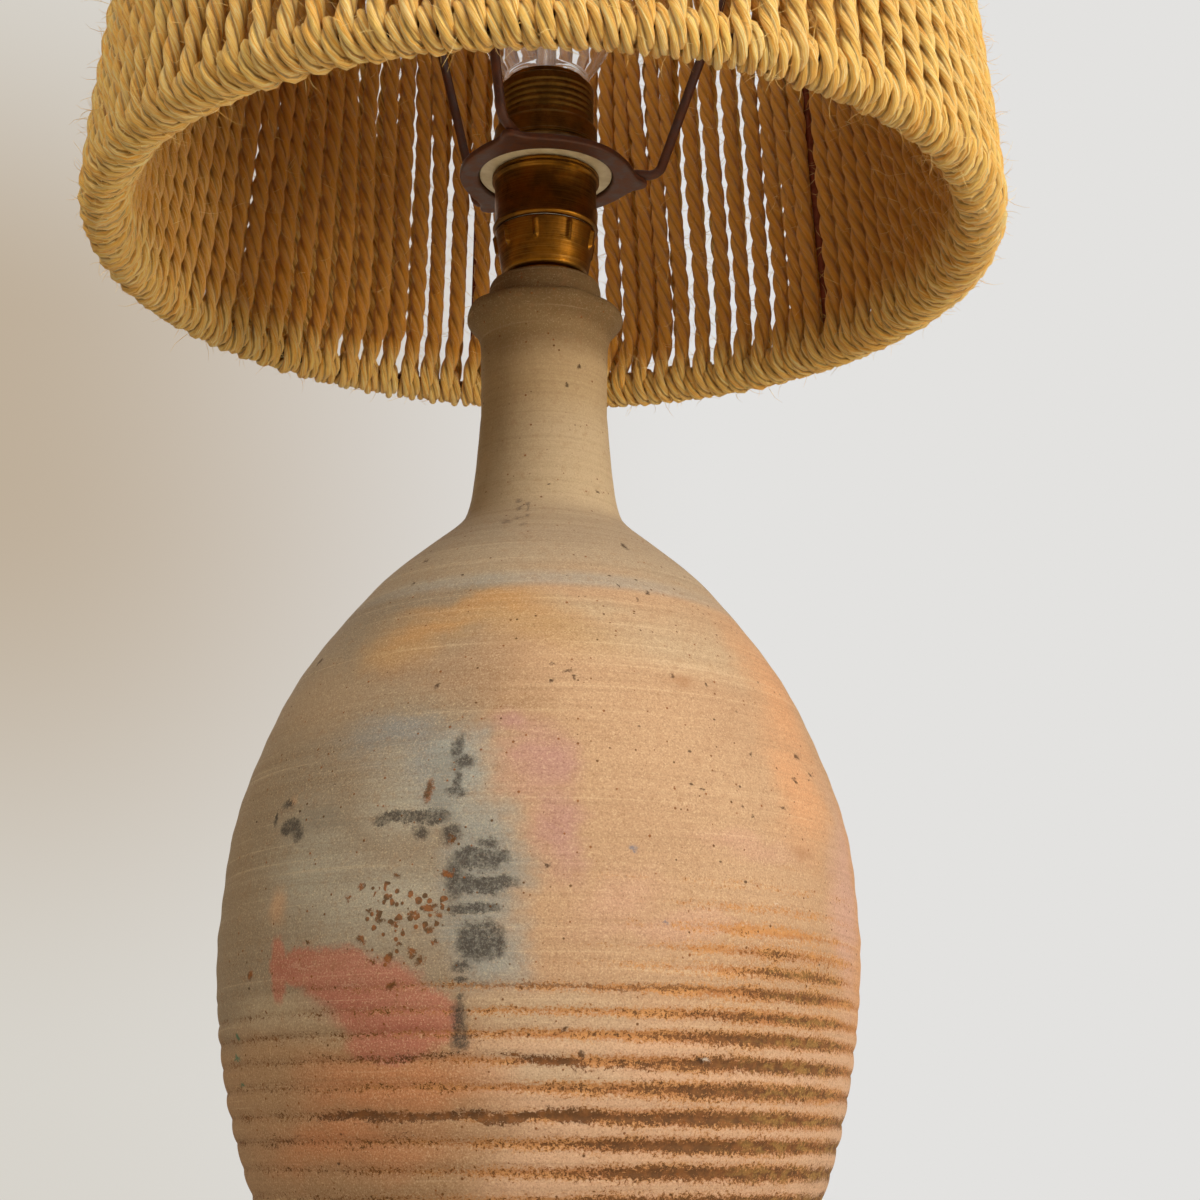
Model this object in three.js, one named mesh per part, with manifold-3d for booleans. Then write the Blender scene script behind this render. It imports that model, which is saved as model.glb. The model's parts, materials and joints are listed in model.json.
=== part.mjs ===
// Table lamp: a thrown stoneware bottle with a brass bayonet lampholder in its neck, a clear bulb,
// and a wire shade frame wound with sisal rope.
// Millimetres, +Z up. The origin is the centre of the bottle's flat foot, on the table.
import * as THREE from "three";
import { mergeVertices } from "three/addons/utils/BufferGeometryUtils.js";
import Module from "manifold-3d";

const wasm = await Module();
wasm.setup();

// Fits shared by all pieces
const seatGap = 0.3;
const cutOverrun = 1;
const joinOverlap = 0.01;
const round = 2 * Math.PI;
const degree = Math.PI / 180;

// Stoneware bottle
const bottleHeight = 308.8;
const bellyRadius = 89.7;
const bellyHeight = 109.5;
const lowerSemiHeight = 137;
const footRadius = 52;
const footChamfer = 2.4;
const bottleWall = 6;
const bottleFloor = 9;
const neckRadius = 18.8;
const neckWaistHeight = 266;
const neckTopRadius = 19.3;
const lipRadius = 23.5;
const lipDepth = 11.8;
const lipThickness = 4.6;
const collarRadius = 17;
const collarEdge = 2.4;
// From the neck's top to the flat mouth: share of the lip's overhang, height from the lip's level as
// a share of its thickness
const lipShares = [[0, -1.8], [0.3, -1], [1, -0.25], [1, 0.1], [0.78, 0.35]];
const mouthBore = 11;
const neckBore = 12.8;
// Between the belly and the neck's waist: share of that height, share of the narrowing still left
const shoulderShares = [
  [0, 1], [0.177, 0.961], [0.324, 0.862], [0.475, 0.705], [0.633, 0.441],
  [0.714, 0.247], [0.765, 0.11], [0.8, 0.054], [0.873, 0.024], [1, 0],
];
// The same on the inside, from the neck down
const innerShoulderShares = [[0.765, 0.11], [0.633, 0.441], [0.324, 0.862], [0, 1]];
// Heights on the inside between floor and belly, as shares of the belly's height
const innerLowerShares = [0.6, 0.25];

// Cord bush in the back of the bottle
const cordHoleHeight = 32;
const bushRadius = 5.2;
const bushBore = 3.6;
const bushProud = 1.5;
const bushInnerProud = 3.6;

// Bung and clamping parts in the neck
const bungLength = 24;
const bungTaper = 0.8;
const bungSink = 0.6;
const clampWasherRadius = 9.6;
const clampWasherThickness = 1.5;
const nutAcrossFlats = 14;
const nutHeight = 4;
const nippleRadius = 5;
const nippleBore = 3.8;
const nippleTail = 2;
const nippleInCap = 7.4;
const seatWasherRadius = 12.4;
const seatWasherThickness = 1.2;

// Lampholder cap
const capHeight = 14.8;
const capFootRadius = 12.9;
const capTopRadius = 15.4;
const capWall = 1.1;
const capFloor = 1.6;
const capBossRadius = 8;
const capBossHeight = 8;
const capLedgeBore = 13.2;
const capLedgeDepth = 1.5;
const gripRibCount = 9;
const gripRibWidth = 1.2;
const gripRibHeight = 6.8;
const gripRibProud = 0.5;
const gripRibTopGap = 0.4;
const grubRadius = 1.3;
const grubLength = 4.2;
const grubHeight = 4.8;

// Lampholder shell: body tube, double rolled rim, threaded skirt, bayonet barrel
const bodyTubeRadius = 15.6;
const bodyTubeBore = 14.8;
const bodyTubeHeight = 18.7;
const beadProud = 0.5;
const beadHeight = 1.9;
const rimProud = 0.8;
const rimRollHeight = 1.4;
const rimGroove = 0.5;
const rimUnderCove = 0.4;
const skirtHeight = 29.1;
const threadCrest = 14.8;
const threadDepth = 0.6;
const threadPitch = 2.1;
const threadTurns = 5;
const threadTopLand = 1.6;
// Where the bead is full, as shares of its height, and where a thread ridge starts and crests, as
// shares of the pitch
const beadShares = [0.25, 0.75];
const threadShares = [0.15, 0.6];
const skirtBore = 13.6;
const barrelRadius = 12.5;
const barrelBore = 11.6;
const barrelDepth = 7.5;
const ledgeDrop = 1.2;
const ledgeThickness = 2.8;
const pinDepth = 15.5;
const pushTravel = 2;
const slotTurn = 22 * degree;

// Terminal block with its plungers, springs, terminals and screws
const bossRise = 3.8;
const contactSpacing = 10.2;
const plungerRadius = 2.2;
const plungerFlange = 2.6;
const plungerFlangeThickness = 2;
const plungerTail = 1.1;
const plungerTailLength = 5;
const plungerNeckDepth = 2.2;
const plungerSpare = 1.4;
const springWire = 0.35;
const springTurns = 4;
const terminalHeight = 5;
const terminalInset = 0.6;
const screwHeadRadius = 2;
const screwHeadHeight = 1.6;
const screwShankRadius = 1.1;
const screwShankLength = 3.6;

// Reducer, carrier ring and shade rings
const reducerRadius = 20.4;
const reducerThickness = 1;
const carrierRadius = 26.5;
const carrierDepth = 2.3;
const carrierLedgeBore = 17.4;
const carrierLedgeOuter = 22.4;
const carrierLedgeThickness = 1.1;
const earReach = 31.8;
const earTipRadius = 3.2;
const cupRadius = 19.3;
const cupRim = 1;
const cupHeight = 5;
const cupNeck = 16.4;
const cupWall = 0.9;
const shadeRingRadius = 16.3;
const shadeRingHeight = 7.1;
const shadeRingBead = 0.4;

// Shade frame
const armCount = 3;
const armRadius = 1.5;
const armAzimuth = 10 * degree;
const armFootStart = 23.6;
const armBend = 35.5;
const armBendRadius = 5;
const armRise = 215.1;
const ringWire = 2;
const topRingRadius = 108;
const bottomRingRadius = 131.75;
const ringSpacing = 240;
const strutRadius = 1.4;
const strutCount = 6;
const strutAzimuth = 43 * degree;

// Rope winding
const ropeRadius = 2.75;
const windingsPerThird = 4;
const ropeWrapGap = 0.5;
const leastRopeGap = 0.45;
const armPassGap = 0.35;
const ropeSides = 5;
const bendSteps = 3;
const gapSampleStep = 9;
const nearAlongRope = 16.5;

// Bulb
const bulbCapRadius = 11;
const bulbCapWall = 0.6;
const bulbCapHeight = 24;
const bulbLength = 105;
const pinRise = 7;
const pinRadius = 1;
const pinReach = 13.2;
const contactRadius = 2.4;
const contactProud = 0.6;
const insulatorThickness = 3.2;
const insulatorProud = 0.4;
const globeRadius = 30;
const globeDrop = 30.5;
const glassWall = 0.8;
const glassNeckRadius = 12.4;
const glassStubRadius = 10;
const glassStubLength = 9;
const stemFlare = 8.6;
const stemRadius = 3.4;
const stemLength = 38;
const supportWire = 0.4;
const leadRise = 4;
const filamentRing = 11;
const filamentWire = 0.35;
const filamentGap = 70 * degree;
// Between the glass neck and the globe's widest ring: share of that height, share of the widening
const flareShares = [[0, 0], [0.08, 0.13], [0.18, 0.31], [0.42, 0.66], [0.7, 0.92], [1, 1]];

// Facets
const bottleSides = 34;
const turnedSides = 24;
const glassSides = 18;
const smallSides = 12;
const wireSides = 6;
const frameRingSides = 48;
const frameRingWireSides = 5;
const thinWireSides = 4;
const lowerSteps = 5;
const shoulderSteps = 12;
const slotSteps = 4;
const earSteps = 3;
const springTurnSteps = 6;
const armBendSteps = 4;
const domeSteps = 4;
const filamentSteps = 16;

// Levels, from the foot upwards
const mouthTop = bottleHeight;
const lipLevel = mouthTop - lipDepth;
const bungTop = mouthTop - bungSink;
const bungBottom = bungTop - bungLength;
const clampWasherTop = bungBottom - seatGap;
const nutTop = clampWasherTop - clampWasherThickness - seatGap;
const nippleBottom = nutTop - nutHeight - nippleTail;
const seatWasherBottom = mouthTop + seatGap;
const capBottom = seatWasherBottom + seatWasherThickness + seatGap;
const capTop = capBottom + capHeight;
const shellBottom = capTop + seatGap;
const rimTop = shellBottom + bodyTubeHeight;
const skirtTop = rimTop + skirtHeight;
const ledgeBottom = rimTop - ledgeDrop;
const ledgeTop = ledgeBottom + ledgeThickness;
const barrelTop = skirtTop - barrelDepth;
const blockShoulder = ledgeBottom - seatGap;
const blockTop = blockShoulder + bossRise;
const pinLevel = skirtTop - pinDepth;
const contactLevel = pinLevel - pinRise;
const plungerTop = contactLevel - seatGap;
const reducerBottom = rimTop + seatGap;
const reducerTop = reducerBottom + reducerThickness;
const carrierPlateTop = reducerTop + seatGap;
const carrierBottom = carrierPlateTop - carrierDepth;
const carrierTop = carrierPlateTop + carrierLedgeThickness;
const cupBottom = carrierTop + seatGap;
const cupTop = cupBottom + cupHeight;
const shadeRingBottom = cupTop + seatGap;
const armLevel = carrierPlateTop + seatGap + armRadius;
const topRingLevel = armLevel + armRise;
const bottomRingLevel = topRingLevel - ringSpacing;
const boreClearance = nippleRadius + seatGap;

// Finishes
const finish = (color, roughness, metalness = 0) =>
  new THREE.MeshStandardMaterial({ color, roughness, metalness });
const stoneware = finish(0xb98a5c, 0.85);
const brass = finish(0x97701f, 0.4, 1);
const darkSteel = finish(0x4a3230, 0.6, 0.6);
const zincSteel = finish(0x9a9a96, 0.45, 0.8);
const rubber = finish(0x26211e, 0.9);
const porcelain = finish(0xe8e4da, 0.4);
const creamPlastic = finish(0xd2c8a6, 0.5);
const sisal = finish(0xc79a55, 0.95);
const blackGlass = finish(0x17161a, 0.3);
const tungsten = finish(0x5a5a5e, 0.5, 0.9);
const clearGlass = new THREE.MeshStandardMaterial({
  color: 0xf2f5f4, roughness: 0.05, transparent: true, opacity: 0.35,
});

// Keeps positions only, merges them, drops flat triangles and turns every face outwards
function closed(geometry) {
  const bare = new THREE.BufferGeometry();
  bare.setAttribute("position", geometry.getAttribute("position").clone());
  if (geometry.index) bare.setIndex(geometry.index.clone());
  const merged = mergeVertices(bare);
  const position = merged.getAttribute("position");
  const corners = [new THREE.Vector3(), new THREE.Vector3(), new THREE.Vector3()];
  const faces = [];
  let volume = 0;
  for (let i = 0; i < merged.index.count; i += 3) {
    const face = [0, 1, 2].map((k) => merged.index.getX(i + k));
    if (new Set(face).size < face.length) continue;
    face.forEach((vertex, k) => corners[k].fromBufferAttribute(position, vertex));
    volume += corners[0].dot(corners[1].clone().cross(corners[2]));
    faces.push(face);
  }
  merged.setIndex(faces.flatMap((face) => (volume < 0 ? face.reverse() : face)));
  return merged;
}

function toManifold(geometry) {
  const solid = closed(geometry);
  return new wasm.Manifold(new wasm.Mesh({
    numProp: 3,
    vertProperties: new Float32Array(solid.getAttribute("position").array),
    triVerts: new Uint32Array(solid.index.array),
  }));
}

function fromManifold(manifold) {
  const mesh = manifold.getMesh();
  const geometry = new THREE.BufferGeometry();
  geometry.setAttribute("position", new THREE.BufferAttribute(mesh.vertProperties, mesh.numProp));
  geometry.setIndex(new THREE.BufferAttribute(mesh.triVerts, 1));
  return geometry;
}

// Cuts the tools from a blank, or joins the pieces to it
function cut(blank, tools) {
  const left = tools.reduce((solid, tool) => solid.subtract(toManifold(tool)), toManifold(blank));
  return fromManifold(left);
}

function join(blank, pieces) {
  const whole = pieces.reduce((solid, piece) => solid.add(toManifold(piece)), toManifold(blank));
  return fromManifold(whole);
}

// Turns an outline of [radius, height] points about Z
function turned(outline, sides = turnedSides) {
  const points = outline.map(([radius, height]) => new THREE.Vector2(radius, height));
  return new THREE.LatheGeometry(points, sides).rotateX(Math.PI / 2);
}

// A ring or tube with a plain section
function sleeve(outer, inner, bottom, top, sides = turnedSides) {
  return turned([[inner, bottom], [outer, bottom], [outer, top], [inner, top], [inner, bottom]], sides);
}

// A solid round bar standing on a level
function bar(radius, bottom, top, sides = smallSides) {
  return turned([[0, bottom], [radius, bottom], [radius, top], [0, top]], sides);
}

// A round bar lying along +Y, from one distance to another, at a height
function crossBar(radius, from, to, height) {
  return bar(radius, from, to).rotateX(-Math.PI / 2).translate(0, 0, height);
}

// Puts [radius, height] at an azimuth
function polar(radius, height, azimuth) {
  return new THREE.Vector3(radius * Math.cos(azimuth), radius * Math.sin(azimuth), height);
}

// Sweeps a round wire of few sides along points, with a vertex of its section on the side away from
// the inward direction given for each point
function swept(points, inwards, radius, sides) {
  const positions = [];
  const index = [];
  points.forEach((point, i) => {
    const before = points[Math.max(i - 1, 0)];
    const after = points[Math.min(i + 1, points.length - 1)];
    const toHere = point.clone().sub(before).normalize();
    const fromHere = after.clone().sub(point).normalize();
    const along = toHere.add(fromHere).normalize();
    const outward = inwards[i].clone().negate();
    outward.addScaledVector(along, -outward.dot(along)).normalize();
    const across = along.clone().cross(outward);
    for (let k = 0; k < sides; k += 1) {
      const angle = (round * k) / sides;
      const corner = point.clone()
        .addScaledVector(outward, radius * Math.cos(angle))
        .addScaledVector(across, radius * Math.sin(angle));
      positions.push(corner.x, corner.y, corner.z);
    }
  });
  const last = (points.length - 1) * sides;
  for (let i = 0; i < points.length - 1; i += 1) {
    for (let k = 0; k < sides; k += 1) {
      const here = i * sides + k;
      const beside = i * sides + ((k + 1) % sides);
      index.push(here, beside, here + sides, beside, beside + sides, here + sides);
    }
  }
  for (let k = 1; k < sides - 1; k += 1) {
    index.push(0, k + 1, k, last, last + k, last + k + 1);
  }
  const geometry = new THREE.BufferGeometry();
  geometry.setAttribute("position", new THREE.Float32BufferAttribute(positions, 3));
  geometry.setIndex(index);
  return geometry;
}

const lamp = new THREE.Group();
const shade = new THREE.Group();
const bulb = new THREE.Group();
lamp.add(shade, bulb);

function piece(name, geometry, material, group = lamp) {
  const mesh = new THREE.Mesh(closed(geometry), material);
  mesh.name = name;
  group.add(mesh);
}

// Radius of the bottle's outside below the belly
function lowerRadius(height) {
  return bellyRadius * Math.sqrt(1 - ((bellyHeight - height) / lowerSemiHeight) ** 2);
}

// Outside of the bottle from the foot to the flat top of its mouth
function bottleOutside() {
  const lower = Array.from({ length: lowerSteps }, (_, i) => {
    const height = footChamfer + ((bellyHeight - footChamfer) * i) / lowerSteps;
    return [lowerRadius(height), height];
  });
  const shoulder = new THREE.SplineCurve(shoulderShares.map(([rise, width]) => new THREE.Vector2(
    neckRadius + (bellyRadius - neckRadius) * width,
    bellyHeight + (neckWaistHeight - bellyHeight) * rise,
  ))).getPoints(shoulderSteps).map((point) => [point.x, point.y]);
  const lip = lipShares.map(([overhang, rise]) => [
    neckTopRadius + (lipRadius - neckTopRadius) * overhang, lipLevel + lipThickness * rise,
  ]);
  const collar = [
    [collarRadius, lipLevel + lipThickness / 2], [collarRadius, mouthTop - collarEdge],
    [collarRadius - collarEdge, mouthTop],
  ];
  return [[0, 0], [footRadius, 0], ...lower, ...shoulder, ...lip, ...collar];
}

// Inside of the bottle, from the mouth down to the middle of its floor
function bottleInside() {
  const shoulder = innerShoulderShares.map(([rise, width]) => [
    neckRadius + (bellyRadius - neckRadius) * width - bottleWall,
    bellyHeight + (neckWaistHeight - bellyHeight) * rise - bottleWall / 2,
  ]);
  const lowerHeights = innerLowerShares.map((share) => bottleFloor + bellyHeight * share);
  const lower = lowerHeights.map((height) => [lowerRadius(height) - bottleWall, height]);
  const floorEdge = [lowerRadius(bottleFloor) - bottleWall * 2, bottleFloor];
  return [
    [mouthBore, mouthTop], [mouthBore, bungBottom], [neckBore, bungBottom - bottleWall * 2],
    ...shoulder, ...lower, floorEdge, [0, bottleFloor],
  ];
}

// The bush lies level, so it is as long as the sloping wall needs
const bushOuterEnd = lowerRadius(cordHoleHeight + bushRadius) + bushProud;
const bushInnerEnd = lowerRadius(cordHoleHeight - bushRadius) - bottleWall - bushInnerProud;

function stonewareBottle() {
  const cordHole = crossBar(
    bushRadius + seatGap, bushInnerEnd - bottleWall, bushOuterEnd + bottleWall, cordHoleHeight,
  );
  return cut(turned([...bottleOutside(), ...bottleInside()], bottleSides), [cordHole]);
}

function cordBush() {
  const blank = crossBar(bushRadius, bushInnerEnd, bushOuterEnd, cordHoleHeight);
  return cut(blank, [
    crossBar(bushBore, bushInnerEnd - cutOverrun, bushOuterEnd + cutOverrun, cordHoleHeight),
  ]);
}

function neckBung() {
  const top = mouthBore - seatGap;
  return turned([
    [boreClearance, bungBottom], [top - bungTaper, bungBottom], [top, bungTop],
    [boreClearance, bungTop], [boreClearance, bungBottom],
  ]);
}

function nippleNut() {
  const hexagon = new THREE.Shape();
  const corner = nutAcrossFlats / Math.sqrt(3);
  for (let k = 0; k < 6; k += 1) {
    const angle = (round * k) / 6;
    const place = [corner * Math.cos(angle), corner * Math.sin(angle)];
    if (k === 0) hexagon.moveTo(...place);
    else hexagon.lineTo(...place);
  }
  hexagon.holes.push(new THREE.Path().absarc(0, 0, boreClearance, 0, round, true));
  return new THREE.ExtrudeGeometry(hexagon, {
    depth: nutHeight, bevelEnabled: false, curveSegments: smallSides,
  }).translate(0, 0, nutTop - nutHeight);
}

piece("stoneware_bottle", stonewareBottle(), stoneware);
piece("cord_bush", cordBush(), rubber);
piece("neck_bung", neckBung(), rubber);
piece("clamp_washer", sleeve(
  clampWasherRadius, boreClearance, clampWasherTop - clampWasherThickness, clampWasherTop, smallSides,
), zincSteel);
piece("nipple_nut", nippleNut(), brass);
piece("threaded_nipple", sleeve(
  nippleRadius, nippleBore, nippleBottom, capBottom + nippleInCap, smallSides,
), brass);
piece("seat_washer", sleeve(
  seatWasherRadius, boreClearance, seatWasherBottom, seatWasherBottom + seatWasherThickness,
), brass);

// Outside radius of the cap at a height above its foot
function capRadius(rise) {
  return capFootRadius + ((capTopRadius - capFootRadius) * rise) / capHeight;
}

function lampholderCap() {
  const floorTop = capBottom + capFloor;
  const ledge = capTop - capLedgeDepth;
  const blank = turned([
    [boreClearance, capBottom], [capFootRadius, capBottom], [capTopRadius, capTop],
    [capLedgeBore, capTop], [capLedgeBore, ledge],
    [capRadius(capHeight - capLedgeDepth) - capWall, ledge],
    [capRadius(capFloor) - capWall, floorTop], [capBossRadius, floorTop],
    [capBossRadius, capBottom + capBossHeight], [boreClearance, capBottom + capBossHeight],
    [boreClearance, capBottom],
  ]);
  const lean = Math.atan((capTopRadius - capFootRadius) / capHeight);
  const ribMiddle = capHeight - gripRibTopGap - gripRibHeight / 2;
  const ribs = Array.from({ length: gripRibCount }, (_, k) => new THREE.BoxGeometry(
    gripRibProud + capWall / 2, gripRibWidth, gripRibHeight,
  ).rotateY(lean).translate(
    capRadius(ribMiddle) + (gripRibProud - capWall / 2) / 2, 0, capBottom + ribMiddle,
  ).rotateZ((round * (k + 0.5)) / gripRibCount));
  const grubWay = crossBar(
    grubRadius + seatGap, boreClearance - seatGap, capTopRadius + cutOverrun, capBottom + grubHeight,
  );
  return cut(join(blank, ribs), [grubWay]);
}

piece("lampholder_cap", lampholderCap(), brass);
piece("cap_grub_screw", crossBar(
  grubRadius, boreClearance, boreClearance + grubLength, capBottom + grubHeight,
), brass);

// One J slot of the bayonet barrel, for the pin at the azimuth
function bayonetSlot(azimuth) {
  const width = 2 * (pinRadius + seatGap);
  const floor = pinLevel - pushTravel - width / 2;
  const channelTop = floor + width;
  const notchTop = pinLevel + width / 2;
  const inner = barrelBore - cutOverrun;
  const outer = (barrelRadius + skirtBore) / 2;
  const upright = (bottom, top) => new THREE.BoxGeometry(outer - inner, width, top - bottom)
    .translate((outer + inner) / 2, 0, (top + bottom) / 2);
  const arc = new THREE.Shape();
  arc.absarc(0, 0, outer, 0, slotTurn, false);
  arc.absarc(0, 0, inner, slotTurn, 0, true);
  const channel = new THREE.ExtrudeGeometry(arc, {
    depth: channelTop - floor, bevelEnabled: false, curveSegments: slotSteps,
  }).translate(0, 0, floor);
  const cutters = [
    upright(floor, notchTop), channel, upright(floor, barrelTop + cutOverrun).rotateZ(slotTurn),
  ];
  return cutters.map((cutter) => cutter.rotateZ(azimuth));
}

function lampholderShell() {
  const root = threadCrest - threadDepth;
  const threadTop = skirtTop - threadTopLand;
  const bead = [
    [bodyTubeRadius, shellBottom],
    ...beadShares.map((share) => [bodyTubeRadius + beadProud, shellBottom + beadHeight * share]),
    [bodyTubeRadius, shellBottom + beadHeight],
  ];
  const rimOutside = bodyTubeRadius + rimProud;
  const rolls = [1, 0].flatMap((k) => {
    const base = rimTop - rimRollHeight * (k + 1);
    return [[rimOutside - rimGroove, base], [rimOutside, base + rimRollHeight / 2]];
  });
  const thread = Array.from({ length: threadTurns }, (_, k) => {
    const base = threadTop - threadPitch * (threadTurns - k);
    return [root, threadCrest].map((radius, i) => [radius, base + threadPitch * threadShares[i]]);
  }).flat();
  const threadStart = threadTop - threadPitch * threadTurns;
  const blank = turned([
    [bodyTubeBore, shellBottom], ...bead,
    [bodyTubeRadius, rimTop - rimRollHeight * 2 - rimUnderCove], ...rolls, [rimOutside - rimGroove, rimTop],
    [threadCrest, rimTop], [threadCrest, threadStart], ...thread,
    [root, skirtTop], [skirtBore, skirtTop], [skirtBore, ledgeTop], [barrelRadius, ledgeTop],
    [barrelRadius, barrelTop], [barrelBore, barrelTop], [barrelBore, ledgeBottom],
    [bodyTubeBore, ledgeBottom], [bodyTubeBore, shellBottom],
  ]);
  return cut(blank, [...bayonetSlot(90 * degree), ...bayonetSlot(270 * degree)]);
}

piece("lampholder_shell", lampholderShell(), brass);

// Plunger bores, springs and terminals share one upright axis on each side
const contactSides = [["left", -contactSpacing / 2], ["right", contactSpacing / 2]];
const plungerBore = plungerFlange + seatGap;
const plungerNeckBore = plungerRadius + seatGap;
const terminalBottom = shellBottom + terminalInset;
const terminalTop = terminalBottom + terminalHeight;
const plungerFlangeTop = blockTop - plungerNeckDepth - seatGap - plungerSpare;
const plungerFlangeBottom = plungerFlangeTop - plungerFlangeThickness;

function terminalBlock() {
  const radius = bodyTubeBore - seatGap;
  const bossRadius = barrelBore - seatGap;
  const blank = turned([
    [0, shellBottom], [radius, shellBottom], [radius, blockShoulder],
    [bossRadius, blockShoulder], [bossRadius, blockTop], [0, blockTop],
  ]);
  const bores = contactSides.flatMap(([, x]) => [
    bar(plungerBore, shellBottom - cutOverrun, blockTop - plungerNeckDepth).translate(x, 0, 0),
    bar(plungerNeckBore, blockShoulder - cutOverrun, blockTop + cutOverrun).translate(x, 0, 0),
  ]);
  return cut(blank, bores);
}

function terminal(x) {
  return sleeve(
    plungerBore - seatGap, screwShankRadius + seatGap, terminalBottom, terminalTop, smallSides,
  ).translate(x, 0, 0);
}

function terminalScrew(x) {
  const headTop = terminalBottom - seatGap;
  const headBottom = headTop - screwHeadHeight;
  return turned([
    [0, headBottom], [screwHeadRadius, headBottom], [screwHeadRadius, headTop],
    [screwShankRadius, headTop], [screwShankRadius, headTop + screwShankLength],
    [0, headTop + screwShankLength],
  ], smallSides).translate(x, 0, 0);
}

function contactPlunger(x) {
  const tailBottom = plungerFlangeBottom - plungerTailLength;
  return turned([
    [0, tailBottom], [plungerTail, tailBottom], [plungerTail, plungerFlangeBottom],
    [plungerFlange, plungerFlangeBottom], [plungerFlange, plungerFlangeTop],
    [plungerRadius, plungerFlangeTop], [plungerRadius, plungerTop], [0, plungerTop],
  ], smallSides).translate(x, 0, 0);
}

// An open coil between the terminal and the plunger's flange
function plungerSpring(x) {
  const coilRadius = (plungerTail + plungerFlange) / 2 + springWire / 2;
  const bottom = terminalTop + seatGap + springWire;
  const top = plungerFlangeBottom - seatGap - springWire;
  const steps = springTurns * springTurnSteps;
  const points = [];
  const inwards = [];
  for (let i = 0; i <= steps; i += 1) {
    const angle = (round * i) / springTurnSteps;
    points.push(polar(coilRadius, bottom + ((top - bottom) * i) / steps, angle));
    inwards.push(polar(-1, 0, angle));
  }
  return swept(points, inwards, springWire, thinWireSides).translate(x, 0, 0);
}

piece("terminal_block", terminalBlock(), porcelain);
contactSides.forEach(([side, x]) => {
  piece(`terminal_${side}`, terminal(x), brass);
  piece(`terminal_screw_${side}`, terminalScrew(x), brass);
  piece(`plunger_${side}`, contactPlunger(x), brass);
  piece(`spring_${side}`, plungerSpring(x), zincSteel);
});

// The carrier's plate: a ring with three ears, each drawn out to a small round tip
function carrierRing() {
  const tipCentre = earReach - earTipRadius;
  const tangent = Math.acos((carrierRadius - earTipRadius) / tipCentre);
  const outline = new THREE.Shape();
  for (let k = 0; k < armCount; k += 1) {
    const middle = (round * k) / armCount;
    const next = middle + round / armCount;
    outline.absarc(
      tipCentre * Math.cos(middle), tipCentre * Math.sin(middle), earTipRadius,
      middle - tangent, middle + tangent, false,
    );
    outline.absarc(0, 0, carrierRadius, middle + tangent, next - tangent, false);
  }
  const blank = new THREE.ExtrudeGeometry(outline, {
    depth: carrierDepth, bevelEnabled: false, curveSegments: earSteps,
  }).rotateZ(armAzimuth).translate(0, 0, carrierBottom);
  const plate = cut(blank, [
    bar(reducerRadius + seatGap, carrierBottom - cutOverrun, carrierTop, turnedSides),
  ]);
  const ledge = sleeve(
    carrierLedgeOuter, carrierLedgeBore, carrierPlateTop - joinOverlap, carrierTop,
  );
  return join(plate, [ledge]);
}

function shadeRingCup() {
  const bore = threadCrest + seatGap;
  return turned([
    [bore, cupBottom], [cupRadius, cupBottom], [cupRadius, cupBottom + cupRim],
    [cupNeck, cupTop - cupWall], [cupNeck, cupTop], [bore, cupTop], [bore, cupBottom],
  ]);
}

function shadeRing() {
  const bore = threadCrest + seatGap;
  const top = shadeRingBottom + shadeRingHeight;
  return turned([
    [bore, shadeRingBottom], [shadeRingRadius, shadeRingBottom],
    [shadeRingRadius, shadeRingBottom + shadeRingBead * 2],
    [shadeRingRadius - shadeRingBead, shadeRingBottom + shadeRingBead * 3],
    [shadeRingRadius - shadeRingBead, top - shadeRingBead],
    [shadeRingRadius - shadeRingBead * 2, top], [bore, top], [bore, shadeRingBottom],
  ]);
}

piece("reducer_ring", sleeve(
  reducerRadius, threadCrest + seatGap, reducerBottom, reducerTop,
), creamPlastic, shade);
piece("carrier_ring", carrierRing(), darkSteel, shade);
piece("shade_ring_cup", shadeRingCup(), brass);
piece("shade_ring", shadeRing(), brass);

// An arm runs out level over its ear, bends, and climbs to the upper ring
function shadeArm(azimuth) {
  const climb = Math.atan2(armRise, topRingRadius - armBend);
  const tangentLength = armBendRadius * Math.tan(climb / 2);
  const end = ringWire + seatGap;
  const outline = [[armFootStart, armLevel]];
  for (let i = 0; i <= armBendSteps; i += 1) {
    const turn = (climb * i) / armBendSteps;
    outline.push([
      armBend - tangentLength + armBendRadius * Math.sin(turn),
      armLevel + armBendRadius * (1 - Math.cos(turn)),
    ]);
  }
  outline.push([topRingRadius - end * Math.cos(climb), topRingLevel - end * Math.sin(climb)]);
  const points = outline.map(([radius, height]) => polar(radius, height, azimuth));
  const inwards = points.map(() => new THREE.Vector3(-Math.sin(azimuth), Math.cos(azimuth), 0));
  return swept(points, inwards, armRadius, wireSides);
}

// The facets of a ring lie half outside and half inside its true circle
function frameRing(radius, level) {
  const facetRadius = (radius * (1 + 1 / Math.cos(Math.PI / frameRingSides))) / 2;
  return new THREE.TorusGeometry(
    facetRadius, ringWire, frameRingWireSides, frameRingSides,
  ).translate(0, 0, level);
}

const wallLean = Math.atan2(bottomRingRadius - topRingRadius, ringSpacing);
const wallLength = Math.hypot(bottomRingRadius - topRingRadius, ringSpacing);

// A point of the shade's wall: distance up from the lower ring, offset outwards from the rings' line
function wallPoint(rise, offset, azimuth) {
  const radius = bottomRingRadius - rise * Math.sin(wallLean) + offset * Math.cos(wallLean);
  const level = bottomRingLevel + rise * Math.cos(wallLean) + offset * Math.sin(wallLean);
  return polar(radius, level, azimuth);
}

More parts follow.
